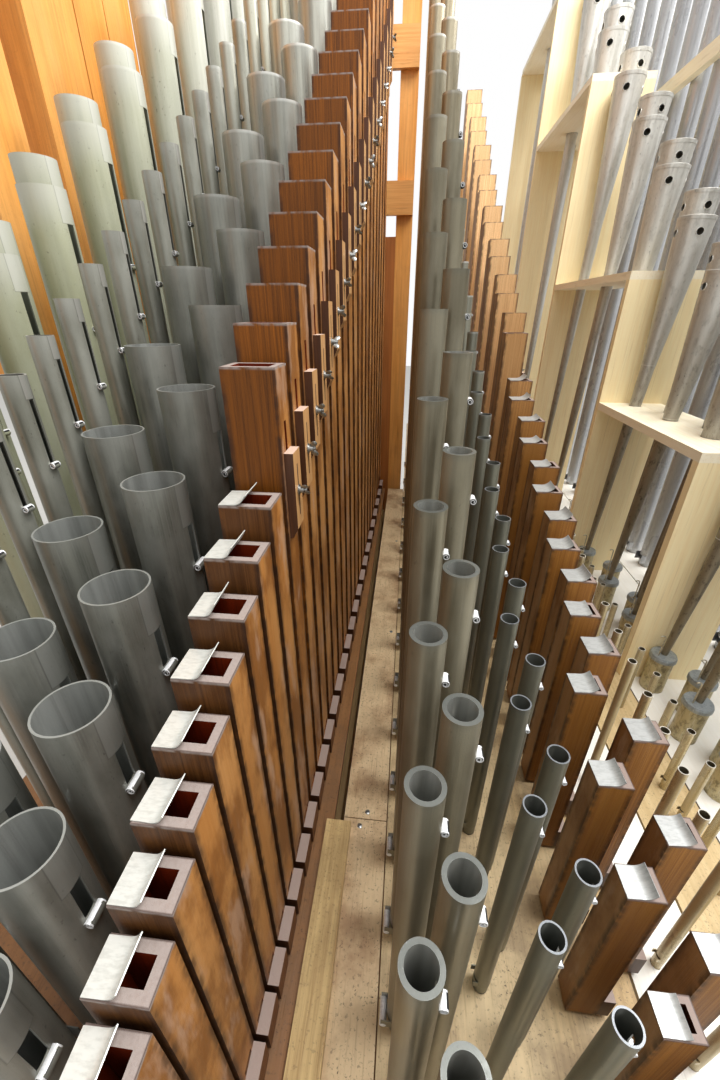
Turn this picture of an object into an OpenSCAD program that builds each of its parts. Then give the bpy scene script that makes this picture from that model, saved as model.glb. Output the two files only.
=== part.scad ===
// Pipe organ: two windchests on a timber frame, with their ranks of flue and reed pipes.
// X runs across the ranks, Y from the treble end to the bass end, Z up from the floor.

/* [Whole instrument] */
// Number of notes on the left windchest
left_notes = 28; // [20:1:28]
// Number of notes on the right windchest
right_notes = 37; // [30:1:37]

/* [Note spacing] */
// Distance from the treble end of the chests to the first pipe
end_margin = 97; // [80:1:120]
// Distance from the last pipe of the left chest to its bass end
left_far_margin = 92; // [90:1:110]
// Distance from the last pipe of the right chest to its bass end
right_far_margin = 154; // [140:1:190]
// Distance between the two smallest notes
pitch_first = 38.4; // [37:0.1:39]
// Growth of that distance from one note to the next
pitch_growth = 1.0475; // [1.045:0.0005:1.048]

/* [Timber frame] */
// Height of the base posts
post_h = 430; // [300:5:700]
// Side of a base post
post_w = 90; // [70:1:110]
// Height of the long rails that carry the chests
rail_h = 120; // [90:1:160]
// Height of the lower cross ties
tie_h = 70; // [50:1:90]
// Height of the lower cross ties above the floor
tie_z = 120; // [60:5:200]
// Depth of a side post along the chest
side_post_l = 124; // [110:1:140]
// Depth of the deep side post along the chest
deep_post_l = 170; // [150:1:190]
// Distance from the treble end to the first of the middle side posts
side_post_start = 938; // [920:1:960]
// Gap between the first and the second middle side post
side_post_gap = 83; // [70:1:95]
// Joint between side posts that stand together
side_post_joint = 5; // [2:0.5:8]
// Width of a tall side post across the chest
side_post_w = 116; // [100:1:120]
// Height of the tall side posts above the rackboards
side_post_top = 1960; // [1800:10:2050]
// Depth of the middle post behind the left chest
back_post_l = 100; // [80:1:110]
// Width of the middle post
back_post_w = 66; // [50:1:72]
// Height of the middle post above the rackboards
back_post_top = 2100; // [1700:10:2300]
// Height of a frame rail between the side post and the middle post
frame_rail_h = 110; // [80:1:120]
// Thickness of those frame rails
frame_rail_t = 22; // [18:1:30]
// Height of the lower frame rail above the rackboards
frame_rail_low = 1174; // [1140:1:1200]
// Height of the upper frame rail above the rackboards
frame_rail_high = 1603; // [1560:1:1640]
// Height of the back panel above the rackboards
back_panel_top = 1104; // [1040:1:1130]
// Distance from the left chest to the back frame
back_gap = 28; // [26:1:40]

/* [Windchests] */
// Height of a windchest
chest_h = 200; // [150:5:300]
// Wall of a windchest and height of its rebate
pallet_wall = 28; // [20:1:40]
// Thickness of a slider
slider_t = 8; // [6:0.5:12]
// Width of a slider
slider_w = 50; // [40:1:52]
// Thickness of an upperboard
upper_t = 30; // [22:1:40]
// Height of the rack pillars
pillar_h = 110; // [90:1:140]
// Diameter of a rack pillar
pillar_d = 16; // [12:1:20]
// Thickness of a rackboard
rack_t = 12; // [9:0.5:18]
// Joint between neighbouring boards
board_gap = 4; // [2:0.5:5]
// Clearance round a pipe foot or a resonator in its hole
fit_gap = 0.3; // [0.2:0.05:0.5]

/* [Board edges] */
// Joint between a side post and the left windchest
left_chest_gap = 17; // [10:1:24]
// Board beyond the axis of the last large flute row
metal_board_edge = 136; // [128:1:140]
// Left chest beyond the right-hand faces of the first wooden pipe
left_chest_edge = 52; // [44:1:60]
// Gap between the left chest and the passage board
passage_gap = 18; // [12:1:30]
// Board in front of the thick-rimmed rank
middle_board_start = 43; // [36:1:50]
// Board beyond the right wooden rank
middle_board_edge = 54; // [48:1:60]
// Board beyond the small rank
pale_board_edge = 68; // [50:1:80]
// Board beyond the reed rank
reed_board_edge = 153; // [148:1:160]
// Board beyond the tall rank
tall_board_edge = 90; // [60:1:120]
// Where the passage board is jointed, from the treble end
passage_joint = 512; // [400:1:700]

/* [Painted rank] */
// Place across the chest, from the left side
painted_x = 255; // [250:1:262]
// Distance between its two staggered rows
painted_stagger = 54; // [50:1:60]
// First note
painted_first = 10; // [8:1:12]
// Length added to every pipe
painted_extra = 66; // [40:1:90]
// Speaking length of the first note of the chest
painted_len = 422; // [400:1:440]
// Growth of the length per note
painted_growth = 1.0583; // [1.055:0.0001:1.06]
// Diameter of the first note of the chest
painted_d = 50; // [46:0.5:51]
// Growth of the diameter per note
painted_d_growth = 1.021; // [1.018:0.001:1.022]

/* [String rank] */
// Distance from the painted rank
string_gap = 150; // [144:1:154]
// How far the rank fans out per note
string_fan = 1.6; // [1.4:0.1:1.8]
// First note
string_first = 6; // [4:1:10]
// Length added to every pipe
string_extra = 173; // [150:1:190]
// Speaking length of the first note of the chest
string_len = 342; // [320:1:360]
// Growth of the length per note
string_growth = 1.0632; // [1.06:0.0001:1.064]
// Diameter of the first note of the chest
string_d = 26; // [22:0.5:28]
// Growth of the diameter per note
string_d_growth = 1.012; // [1.01:0.001:1.014]

/* [Large flute rank] */
// Distance from the string rank
flute_gap = 93; // [92:1:98]
// How far the rank fans out per note
flute_fan = 2.4; // [2.3:0.1:2.6]
// Distance between its two staggered rows at the first note of the chest
flute_stagger = 100; // [96:1:102]
// How much closer the rows come per note
flute_closing = 2.2; // [2:0.1:2.3]
// First note
flute_first = 1; // [1:1:4]
// Length added to every pipe, less what its width takes off
flute_extra = -197; // [-210:1:-180]
// Speaking length of the first note of the chest
flute_len = 534; // [520:1:560]
// Growth of the length per note
flute_growth = 1.0522; // [1.051:0.0001:1.054]
// Diameter of the first note of the chest
flute_d = 66; // [60:0.5:66.5]
// Growth of the diameter per note
flute_d_growth = 1.012; // [1.01:0.001:1.013]

/* [Left wooden rank] */
// Distance from the large flutes to its right-hand faces
left_wood_gap = 216; // [212:1:224]
// How far the rank fans out per note
left_wood_fan = 1; // [0.6:0.1:1.2]
// Number of short pipes with a flap on top
left_flaps = 9; // [6:1:12]
// Height of the first short pipe
left_short_len = 403; // [370:1:410]
// Growth of the short pipes per note
left_short_growth = 1.06; // [1.055:0.001:1.062]
// Height that the first tall pipe would have at the first note
left_tall_len = 495; // [470:1:510]
// Growth of the tall pipes per note
left_tall_growth = 1.0515; // [1.049:0.0005:1.053]
// Width of the first pipe across the chest
left_wood_w = 47.3; // [44:0.1:48]
// Growth of the width per note
left_wood_w_growth = 1.028; // [1.024:0.001:1.028]
// Depth of the first pipe along the chest
left_wood_d = 34; // [30:0.5:34.5]
// Growth of the depth per note
left_wood_d_growth = 1.034; // [1.028:0.001:1.036]

/* [Thick-rimmed metal rank] */
// Distance from the left wooden rank
thick_gap = 193; // [188:1:204]
// Distance between its two staggered rows
thick_stagger = 30; // [26:1:34]
// Length added to every pipe, less what its width takes off
thick_extra = -552; // [-560:1:-540]
// Speaking length of the first note of the chest
thick_len = 912; // [900:1:930]
// Growth of the length per note
thick_growth = 1.0354; // [1.034:0.0001:1.036]
// Diameter of the first note of the chest
thick_d = 33; // [31:0.5:34]
// Growth of the diameter per note
thick_d_growth = 1.0095; // [1.008:0.0005:1.012]

/* [Slender metal rank] */
// Distance from the thick-rimmed rank
slender_gap = 113; // [108:1:118]
// Distance between its two staggered rows at the first note
slender_stagger = 52; // [46:1:56]
// How much closer the rows come per note
slender_closing = 3.5; // [3:0.1:4]
// Length added to every pipe
slender_extra = 232; // [220:1:245]
// Speaking length of the first note of the chest
slender_len = 124; // [118:1:130]
// Growth of the length per note
slender_growth = 1.0773; // [1.075:0.0001:1.078]
// Diameter of the first note of the chest
slender_d = 21; // [18:0.5:24]
// Growth of the diameter per note
slender_d_growth = 1.014; // [1.01:0.001:1.018]

/* [Right wooden rank] */
// Distance from the slender rank
right_wood_gap = 139; // [134:1:144]
// Distance between its two staggered rows at the small notes
right_wood_stagger = 58; // [54:1:62]
// First note from which the pipes stand in one row
right_wood_single = 10; // [8:1:12]
// Number of short pipes with a flap on top
right_flaps = 21; // [16:1:24]
// Height of the first short pipe
right_short_len = 230; // [220:1:250]
// Growth of the short pipes per note
right_short_growth = 1.0545; // [1.05:0.0005:1.056]
// Height that the first tall pipe would have at the first note
right_tall_len = 211; // [200:1:220]
// Growth of the tall pipes per note
right_tall_growth = 1.064; // [1.06:0.001:1.066]
// Width of the first pipe across the chest
right_wood_w = 34.5; // [32:0.5:36]
// Growth of the width per note
right_wood_w_growth = 1.026; // [1.022:0.001:1.028]
// Depth of a pipe as a share of its width
right_wood_ratio = 0.85; // [0.75:0.01:0.9]

/* [Small metal ranks] */
// Distance from the right wooden rank to the small rank
small_gap = 98; // [94:1:104]
// Height of the first small pipe
small_len = 215; // [200:1:230]
// Growth of the small pipes per note
small_growth = 1.035; // [1.03:0.001:1.04]
// Diameter of the small pipes
small_d = 14; // [11:0.5:15]
// Last note of the small rank
small_last = 20; // [16:1:24]
// Distance from the small rank to the tiny rank
tiny_gap = 143; // [130:1:150]
// Height of the first tiny pipe
tiny_len = 116; // [110:1:125]
// Growth of the tiny pipes per note
tiny_growth = 1.03; // [1.028:0.001:1.034]
// First note of the tiny rank
tiny_first = 5; // [3:1:8]

/* [Reed rank] */
// Distance from the tiny rank
reed_gap = 127; // [122:1:134]
// Distance between its two staggered rows
reed_stagger = 48; // [44:1:50]
// First note
reed_first = 11; // [10:1:14]
// Height of the resonator that the first note of the chest would have
reed_len = 268; // [260:1:276]
// Growth of the resonators per note
reed_growth = 1.0664; // [1.062:0.0001:1.067]
// Height of the boots above the rackboard
boot_h = 92; // [80:1:105]
// Diameter of a boot
boot_d = 51; // [47:1:55]
// Wall of a boot
boot_wall = 2.5; // [2:0.1:3.5]
// Thickness of the block on a boot
block_t = 12; // [8:0.5:16]
// Diameter of a resonator at the block
reed_low_d = 14; // [13:0.5:17]
// Diameter of the resonator's head at the first note of the chest
reed_top_d = 47.5; // [44:0.5:49]
// Growth of the head per note
reed_top_growth = 1.027; // [1.022:0.001:1.028]
// How far a resonator's head leans to the right of its boot
reed_lean = 43; // [30:1:48]
// Wall of a resonator
reed_wall = 1.6; // [1.2:0.1:2.4]
// Length of the flaring upper part of a resonator, in diameters of its head
flare_share = 4.2; // [3.6:0.1:4.6]
// Diameter of a resonator where the flare starts, in diameters of its head
flare_start = 0.42; // [0.38:0.01:0.48]
// Height of the rolled rim of the cap, in diameters of the head
rim_share = 0.1; // [0.07:0.01:0.14]
// Depth of the tone holes below the cap, in diameters of the head
hole_depth = 0.4; // [0.34:0.01:0.46]
// Diameter of a tone hole, in diameters of the head
hole_share = 0.19; // [0.14:0.01:0.22]
// Diameter of a tuning wire
wire_d = 3; // [2.5:0.1:4]

/* [Reed rack] */
// Thickness of the rack boards
rack_board_t = 20; // [16:1:24]
// Distance from the front of the rack to the reed rank
rack_front = 87; // [82:1:92]
// Depth of the lowest rack shelf across the chest
rack_depth = 176; // [174:1:182]
// How much deeper each higher shelf is
rack_depth_step = 17; // [14:1:19]

/* [Tall metal rank] */
// Distance from the reed rank
tall_gap = 243; // [236:1:250]
// First note
tall_first = 12; // [10:1:16]
// Height of the first note of the chest
tall_len = 1080; // [1000:5:1150]
// Growth of the length per note
tall_growth = 1.022; // [1.018:0.001:1.024]
// Diameter of the pipes
tall_d = 58; // [50:1:60]
// Height of the rack rail in front of them
tall_rail_z = 1500; // [1300:10:1500]

/* [Hidden] */
$fn = 48;

// Distance from the first note to a later one
function run_to(n) = pitch_first * (pow(pitch_growth, n) - 1) / (pitch_growth - 1);

// Places across the instrument, from its left side
left_chest_x = side_post_w + left_chest_gap;
string_x = painted_x + string_gap;
flute_x = string_x + flute_gap;
left_wood_x = flute_x + left_wood_gap;
thick_x = left_wood_x + thick_gap;
slender_x = thick_x + slender_gap;
right_wood_x = slender_x + right_wood_gap;
small_x = right_wood_x + small_gap;
tiny_x = small_x + tiny_gap;
reed_x = tiny_x + reed_gap;
tall_x = reed_x + tall_gap;
rack_front_x = reed_x - rack_front;
metal_board_x = flute_x + metal_board_edge;
left_chest_end = left_wood_x + left_chest_edge;
passage_x = left_chest_end + passage_gap;
right_chest_x = thick_x - middle_board_start;
middle_board_x = right_wood_x + middle_board_edge;
pale_board_x = small_x + pale_board_edge;
reed_board_x = reed_x + reed_board_edge;

left_chest_l = end_margin + run_to(left_notes - 1) + left_far_margin;
total_l = end_margin + run_to(right_notes - 1) + right_far_margin;
total_w = tall_x + tall_board_edge;
left_side = -total_w / 2;
near_end = -total_l / 2;
far_end = total_l / 2;
left_far_end = near_end + left_chest_l;
chest_z = post_h + rail_h;
slider_z = chest_z + chest_h;
upper_z = slider_z + slider_t;
pillar_z = upper_z + upper_t;
rack_z = pillar_z + pillar_h;
board_z = rack_z + rack_t;
foot_h = board_z - pillar_z;
right_chest_end = total_w;
mouth_z = 22;
toe_d = 11;
tin_wall = 1.6;
wood_foot_d = 20;
left_wood_wall = 8.5;
right_wood_wall = 6.5;
wood_lift = 8;
wood_block_h = 42;
cap_t = 15;
flap_t = 1;
left_flap_cover = 0.45;
right_flap_cover = 0.7;
thick_wall = 4.2;
slide_t = 11;
least_stagger = 10;

// Place of a note along the chest
function note_y(n) = near_end + end_margin + run_to(n);
// Odd notes stand in one row of a staggered rank and even notes in the other
function row_shift(n, stagger, odd_side) = (n % 2 == 1 ? odd_side : -odd_side) * stagger / 2;
function grown(first, growth, n) = first * pow(growth, n);
// Diameter of a conical pipe foot where it passes the top of its rackboard
function foot_at_board(d) = toe_d + (d - toe_d) * foot_h / (foot_h + mouth_z);

// A rack upright stands behind each of these notes' reeds, and each carries a shelf
upright_notes = [15, 21, 27, 32];
shelf_heights = [565, 905, 1530, 2060];
upright_count = len(upright_notes);
room_gap = 1.5;
left_last = left_notes - 1;
right_last = right_notes - 1;
painted_notes = [painted_first : left_last];
string_notes = [string_first : left_last];
flute_notes = [flute_first : left_last];
left_wood_notes = [0 : left_last];
thick_notes = [0 : right_last - 5];
slender_notes = [0 : right_last];
right_wood_notes = [0 : right_last];
small_notes = [3 : small_last];
tiny_notes = [tiny_first : small_last];
reed_notes = [reed_first : right_last];
tall_notes = [tall_first : right_last];

function painted_top(n) = painted_extra + grown(painted_len, painted_growth, n);
function painted_dia(n) = grown(painted_d, painted_d_growth, n);
function painted_at(n) = [left_side + painted_x + row_shift(n, painted_stagger, -1), note_y(n)];
function string_top(n) = string_extra + grown(string_len, string_growth, n);
function string_dia(n) = grown(string_d, string_d_growth, n);
function string_at(n) = [left_side + string_x + string_fan * n, note_y(n)];
function flute_top(n) = flute_extra + grown(flute_len, flute_growth, n);
function flute_dia(n) = grown(flute_d, flute_d_growth, n);
function flute_at(n) = [
    left_side + flute_x + flute_fan * n + row_shift(n, flute_stagger - flute_closing * n, 1),
    note_y(n)
];
function left_wood_top(n) = n < left_flaps
    ? grown(left_short_len, left_short_growth, n)
    : grown(left_tall_len, left_tall_growth, n);
function left_wood_wide(n) = grown(left_wood_w, left_wood_w_growth, n);
function left_wood_deep(n) = grown(left_wood_d, left_wood_d_growth, n);
function left_wood_at(n) = [
    left_side + left_wood_x + left_wood_fan * n - left_wood_wide(n) / 2,
    note_y(n) + left_wood_deep(n) / 2
];
function thick_top(n) = thick_extra + grown(thick_len, thick_growth, n);
function thick_dia(n) = grown(thick_d, thick_d_growth, n);
function thick_at(n) = [left_side + thick_x + row_shift(n, thick_stagger, 1), note_y(n)];
function slender_top(n) = slender_extra + grown(slender_len, slender_growth, n);
function slender_dia(n) = grown(slender_d, slender_d_growth, n);
function slender_at(n) = [
    left_side + slender_x + row_shift(n, max(least_stagger, slender_stagger - slender_closing * n), -1),
    note_y(n)
];
function right_wood_top(n) = n < right_flaps
    ? grown(right_short_len, right_short_growth, n)
    : grown(right_tall_len, right_tall_growth, n);
function right_wood_wide(n) = grown(right_wood_w, right_wood_w_growth, n);
function right_wood_deep(n) = right_wood_wide(n) * right_wood_ratio;
function right_wood_at(n) = [
    left_side + right_wood_x
        + row_shift(n, n < right_wood_single ? right_wood_stagger : least_stagger, -1),
    note_y(n)
];
function small_at(n) = [left_side + small_x, note_y(n)];
function tiny_at(n) = [left_side + tiny_x, note_y(n)];
function reed_at(n) = [
    left_side + reed_x + row_shift(n, reed_stagger, -1),
    note_y(n)
];
function reed_top(n) = grown(reed_len, reed_growth, n);
function reed_head(n) = grown(reed_top_d, reed_top_growth, n);
function resonator_z() = boot_h + block_t;
function flare_z(n) = reed_top(n) - flare_share * reed_head(n);
// Outer diameter of a resonator at a height above the rackboard
function resonator_dia(n, z) = z < flare_z(n)
    ? reed_low_d + (reed_head(n) * flare_start - reed_low_d) * (z - resonator_z()) / (flare_z(n) - resonator_z())
    : reed_head(n) * (flare_start + (1 - flare_start) * (z - flare_z(n)) / (reed_top(n) - flare_z(n)));
function tall_top(n) = grown(tall_len, tall_growth, n);
function tall_at(n) = [left_side + tall_x, note_y(n)];

function upright_y(k) = k < upright_count
    ? (note_y(upright_notes[k]) + note_y(upright_notes[k] + 1)) / 2
    : far_end - 60;

module oak() {
    color("#7a4a24") children();
}

module pine() {
    color("#e8c98c") children();
}

module frame_timber() {
    color("#c98a4b") children();
}

module pipe_metal() {
    color("#7d8480") children();
}

module bar(from, to) {
    translate(from) cube(to - from);
}

module stand_at(p) {
    translate([p[0], p[1], board_z]) children();
}

// A metal flue pipe: conical foot, languid, open body, mouth with ears, tuning slot and roll.
// Its origin is on the pipe's axis at the top of the rackboard. The slot starts slot_drop below
// the top, and a beard rolls between the ears where beard_d is more than nothing.
module flue_pipe(d, top, wall, mouth_side, slot_side, slot_drop, slot_l, roll_d, beard_d) {
    r = d / 2;
    inner = r - wall;
    languid = 3;
    cut_up = d * 0.26;
    mouth_w = d * 0.7;
    ear_l = r * 0.62 + beard_d * 0.6;
    slot_w = d * 0.2;
    roll_w = d * 0.26;
    slot_bottom = top - slot_drop - slot_l;
    difference() {
        union() {
            rotate_extrude()
                polygon([
                    [0, -foot_h], [toe_d / 2, -foot_h], [r, mouth_z], [r, top], [inner, top],
                    [inner, mouth_z + languid], [0, mouth_z + languid]
                ]);
            rotate([0, 0, mouth_side]) {
                for (side = [-1, 1])
                    translate([r * 0.62, side * (mouth_w / 2 + 0.8) - 0.6, mouth_z - cut_up * 0.5])
                        cube([ear_l, 1.2, cut_up * 2]);
                if (beard_d > 0)
                    translate([r * 0.62 + ear_l - beard_d * 0.5, mouth_w / 2 + 1, mouth_z])
                        rotate([90, 0, 0]) cylinder(h = mouth_w + 2, d = beard_d, $fn = 16);
            }
            if (slot_l > 0)
                rotate([0, 0, slot_side])
                    translate([r + roll_d * 0.3, roll_w / 2, slot_bottom - roll_d * 0.4])
                        rotate([90, 0, 0]) cylinder(h = roll_w, d = roll_d, $fn = 16);
        }
        translate([0, 0, mouth_z + languid])
            cylinder(h = top, r = inner);
        rotate([0, 0, mouth_side])
            translate([r * 0.5, -mouth_w / 2, mouth_z + languid])
                cube([r * 0.55, mouth_w, cut_up]);
        if (slot_l > 0)
            rotate([0, 0, slot_side])
                translate([r * 0.5, -slot_w / 2, slot_bottom])
                    cube([r, slot_w, slot_l]);
    }
}

// A square wooden pipe: turned foot, block, hollow body, mouth cut and tuning slot.
// Its mouth and slot face +X. Its origin is on its axis at the top of the rackboard.
module wood_pipe(w, d, top, wall, slot_l) {
    cut_up = d * 0.3;
    block_top = wood_lift + wood_block_h;
    translate([0, 0, -foot_h]) cylinder(h = foot_h + wood_lift + 1, d = wood_foot_d);
    difference() {
        translate([-w / 2, -d / 2, wood_lift]) cube([w, d, top - wood_lift]);
        translate([-w / 2 + wall, -d / 2 + wall, block_top])
            cube([w - 2 * wall, d - 2 * wall, top]);
        translate([0, -d / 2 + wall, block_top])
            cube([w, d - 2 * wall, cut_up]);
        if (slot_l > 0)
            translate([0, -d * 0.09, top - d * 1.3 - slot_l])
                cube([w, d * 0.18, slot_l]);
    }
}

module mouth_cap(w, d) {
    translate([w / 2, -d / 2, wood_lift]) cube([cap_t, d, wood_block_h]);
}

// A metal flap that lies on the left of a pipe's rim, with its right-hand end bent up.
// Its flat part covers a share of the pipe's width.
module flap_sheet(w, d, cover) {
    bend_r = w * 0.14;
    lip = w * 0.17;
    turn = 56;
    steps = 5;
    x1 = w * (cover - 0.5);
    arc = [for (i = [0 : steps]) i * turn / steps];
    under = [for (a = arc) [x1 + bend_r * sin(a), bend_r * (1 - cos(a))]];
    over = [for (a = arc) [x1 + (bend_r - flap_t) * sin(a), flap_t + (bend_r - flap_t) * (1 - cos(a))]];
    rise = [lip * cos(turn), lip * sin(turn)];
    back = [for (i = [steps : -1 : 0]) over[i]];
    translate([0, d / 2 - 1, 0])
        rotate([90, 0, 0])
            linear_extrude(d - 2)
                polygon(concat(
                    [[-w / 2, flap_t], [-w / 2, 0]], under,
                    [under[steps] + rise, over[steps] + rise], back
                ));
}

// Left sides of the four rows of base posts, one under each long edge of a chest
function base_rows() = [
    left_side + side_post_w,
    left_side + left_chest_end - post_w,
    left_side + right_chest_x,
    left_side + right_chest_end - post_w
];
// Near sides of the base posts along the frame. The left chest is shorter and has one fewer.
function base_steps() = [
    near_end,
    near_end + (left_chest_l - post_w) / 2,
    left_far_end - post_w,
    far_end - post_w
];
function last_step(row) = row < 2 ? 2 : 3;

module base_posts() {
    rows = base_rows();
    steps = base_steps();
    frame_timber()
        for (row = [0 : 3])
            for (k = [0 : last_step(row)])
                bar([rows[row], steps[k], 0], [rows[row] + post_w, steps[k] + post_w, post_h]);
}

module long_rails() {
    rows = base_rows();
    frame_timber()
        for (row = [0 : 3])
            bar([rows[row], near_end, post_h], [rows[row] + post_w, row < 2 ? left_far_end : far_end, chest_z]);
}

module cross_ties() {
    rows = base_rows();
    steps = base_steps();
    frame_timber()
        for (row = [0 : 2])
            for (k = [0 : last_step(row)])
                if (row == 2 || k < 3)
                    bar(
                        [rows[row] + post_w, steps[k] + post_w * 0.25, tie_z],
                        [rows[row + 1], steps[k] + post_w * 0.75, tie_z + tie_h]
                    );
}

// Near sides of the side posts and their depths along the chest
deep_post_y = side_post_start + side_post_l + side_post_gap;
next_post_y = deep_post_y + deep_post_l + side_post_joint;
side_post_places = [
    [near_end + end_margin, side_post_l],
    [near_end + side_post_start, side_post_l],
    [near_end + deep_post_y, deep_post_l],
    [near_end + next_post_y, side_post_l - side_post_joint],
    [near_end + next_post_y + side_post_l, side_post_l],
    [left_far_end + back_gap, side_post_l]
];

module side_posts() {
    frame_timber()
        for (p = side_post_places)
            bar([left_side, p[0], 0], [left_side + side_post_w, p[0] + p[1], board_z + side_post_top]);
}

module side_top_rail() {
    frame_timber()
        bar(
            [left_side, side_post_places[0][0], board_z + side_post_top],
            [left_side + side_post_w, left_far_end + back_gap + side_post_l, board_z + side_post_top + rail_h]
        );
}

function back_post_x() = left_side + passage_x - 4;

module back_post() {
    frame_timber()
        bar(
            [back_post_x(), left_far_end + back_gap, 0],
            [back_post_x() + back_post_w, left_far_end + back_gap + back_post_l, board_z + back_post_top]
        );
}

// Two rails cross the fronts of the far side post and the middle post
module frame_rails() {
    y1 = left_far_end + back_gap;
    frame_timber()
        for (z = [frame_rail_low, frame_rail_high])
            bar(
                [left_side, y1 - frame_rail_t, board_z + z],
                [back_post_x() + back_post_w, y1, board_z + z + frame_rail_h]
            );
}

module back_panel() {
    y0 = left_far_end + back_gap;
    frame_timber()
        bar(
            [left_side + side_post_w, y0, chest_z],
            [back_post_x(), y0 + frame_rail_t, board_z + back_panel_top]
        );
}

module windchest(x0, x1, y1) {
    difference() {
        bar([left_side + x0, near_end, chest_z], [left_side + x1, y1, slider_z]);
        bar(
            [left_side + x0 + pallet_wall, near_end + pallet_wall, chest_z + pallet_wall],
            [left_side + x1 - pallet_wall, y1 - pallet_wall, slider_z - pallet_wall]
        );
    }
}

module left_windchest() {
    pine() windchest(left_chest_x, left_chest_end, left_far_end);
}

module right_windchest() {
    pine() windchest(right_chest_x, right_chest_end, far_end);
}

module slider(x, y1) {
    bar(
        [left_side + x - slider_w / 2, near_end, slider_z],
        [left_side + x + slider_w / 2, y1, upper_z]
    );
}

module sliders() {
    mid = (left_notes - 1) / 2;
    color("#b08a5a") {
        for (side = [-1, 1]) {
            slider(painted_x + side * painted_stagger / 2, left_far_end);
            slider(
                flute_x + flute_fan * mid + side * (flute_stagger - flute_closing * mid) / 2,
                left_far_end
            );
        }
        for (x = [string_x + string_fan * mid, left_wood_x - slider_w * 0.6])
            slider(x, left_far_end);
        for (x = [thick_x, slender_x, right_wood_x, small_x, tiny_x, reed_x, tall_x])
            slider(x, far_end);
    }
}

// A board with a hole for each foot: rows are lists of [place, diameter]
module drilled_board(x0, x1, y1, z0, z1, holes) {
    difference() {
        bar([left_side + x0, near_end, z0], [left_side + x1, y1, z1]);
        for (h = holes)
            translate([h[0][0], h[0][1], z0 - 1]) cylinder(h = z1 - z0 + 2, d = h[1]);
    }
}

wind_hole = toe_d - 3;

function painted_holes(fixed) = [for (n = painted_notes)
    [painted_at(n), fixed > 0 ? fixed : foot_at_board(painted_dia(n)) + 2 * fit_gap]];
function string_holes(fixed) = [for (n = string_notes)
    [string_at(n), fixed > 0 ? fixed : foot_at_board(string_dia(n)) + 2 * fit_gap]];
function flute_holes(fixed) = [for (n = flute_notes)
    [flute_at(n), fixed > 0 ? fixed : foot_at_board(flute_dia(n)) + 2 * fit_gap]];
function left_wood_holes(fixed) = [for (n = left_wood_notes)
    [left_wood_at(n), fixed > 0 ? fixed : wood_foot_d + 2 * fit_gap]];
function thick_holes(fixed) = [for (n = thick_notes)
    [thick_at(n), fixed > 0 ? fixed : foot_at_board(thick_dia(n)) + 2 * fit_gap]];
function slender_holes(fixed) = [for (n = slender_notes)
    [slender_at(n), fixed > 0 ? fixed : foot_at_board(slender_dia(n)) + 2 * fit_gap]];
function right_wood_holes(fixed) = [for (n = right_wood_notes)
    [right_wood_at(n), fixed > 0 ? fixed : wood_foot_d + 2 * fit_gap]];
function small_holes(fixed) = [for (n = small_notes)
    [small_at(n), fixed > 0 ? fixed : foot_at_board(small_d) + 2 * fit_gap]];
function tiny_holes(fixed) = [for (n = tiny_notes)
    [tiny_at(n), fixed > 0 ? fixed : foot_at_board(small_d) + 2 * fit_gap]];
function reed_holes(fixed) = [for (n = reed_notes)
    [reed_at(n), fixed > 0 ? fixed : boot_d + 2 * fit_gap]];
function tall_holes(fixed) = [for (n = tall_notes)
    [tall_at(n), fixed > 0 ? fixed : foot_at_board(tall_d) + 2 * fit_gap]];

module left_upperboards() {
    pine() {
        drilled_board(
            left_chest_x, metal_board_x, left_far_end, upper_z, pillar_z,
            concat(painted_holes(wind_hole), string_holes(wind_hole), flute_holes(wind_hole))
        );
        drilled_board(
            metal_board_x + board_gap, left_chest_end, left_far_end, upper_z, pillar_z,
            left_wood_holes(wind_hole)
        );
    }
}

module right_upperboards() {
    pine() {
        drilled_board(
            right_chest_x, middle_board_x, far_end, upper_z, pillar_z,
            concat(thick_holes(wind_hole), slender_holes(wind_hole), right_wood_holes(wind_hole))
        );
        drilled_board(
            middle_board_x + board_gap, pale_board_x, far_end, upper_z, pillar_z,
            small_holes(wind_hole)
        );
        drilled_board(
            pale_board_x + board_gap, reed_board_x, far_end, upper_z, pillar_z,
            concat(tiny_holes(wind_hole), reed_holes(wind_hole))
        );
        drilled_board(
            reed_board_x + board_gap, right_chest_end, far_end, upper_z, pillar_z,
            tall_holes(wind_hole)
        );
    }
}

// Rack pillars stand near both long edges of each rackboard
module pillar_row(x, y1, count) {
    inset = pillar_d;
    run = y1 - near_end - 2 * inset;
    for (i = [0 : count - 1])
        translate([left_side + x, near_end + inset + run * i / (count - 1), pillar_z])
            cylinder(h = pillar_h, d = pillar_d);
}

module rack_pillars() {
    edge = pillar_d;
    color("#c9a468") {
        for (x = [left_chest_x + edge, string_x, metal_board_x + edge, left_chest_end - edge])
            pillar_row(x, left_far_end, 2);
        for (x = [right_chest_x + edge * 0.6, (slender_x + right_wood_x) / 2, middle_board_x + edge,
                  pale_board_x - edge, pale_board_x + edge, reed_board_x - edge,
                  reed_board_x + edge, right_chest_end - edge])
            pillar_row(x, far_end, 3);
    }
}

module metal_rackboard() {
    color("#a08a6a")
        drilled_board(
            left_chest_x, metal_board_x, left_far_end, rack_z, board_z,
            concat(painted_holes(0), string_holes(0), flute_holes(0))
        );
}

module wood_rackboard() {
    color("#8a6a48")
        drilled_board(
            metal_board_x + board_gap, left_chest_end, left_far_end, rack_z, board_z,
            left_wood_holes(0)
        );
}

module passage_ledger() {
    pine()
        bar(
            [left_side + right_chest_x - 24, near_end, slider_z - 90],
            [left_side + right_chest_x, left_far_end, rack_z]
        );
}

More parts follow.
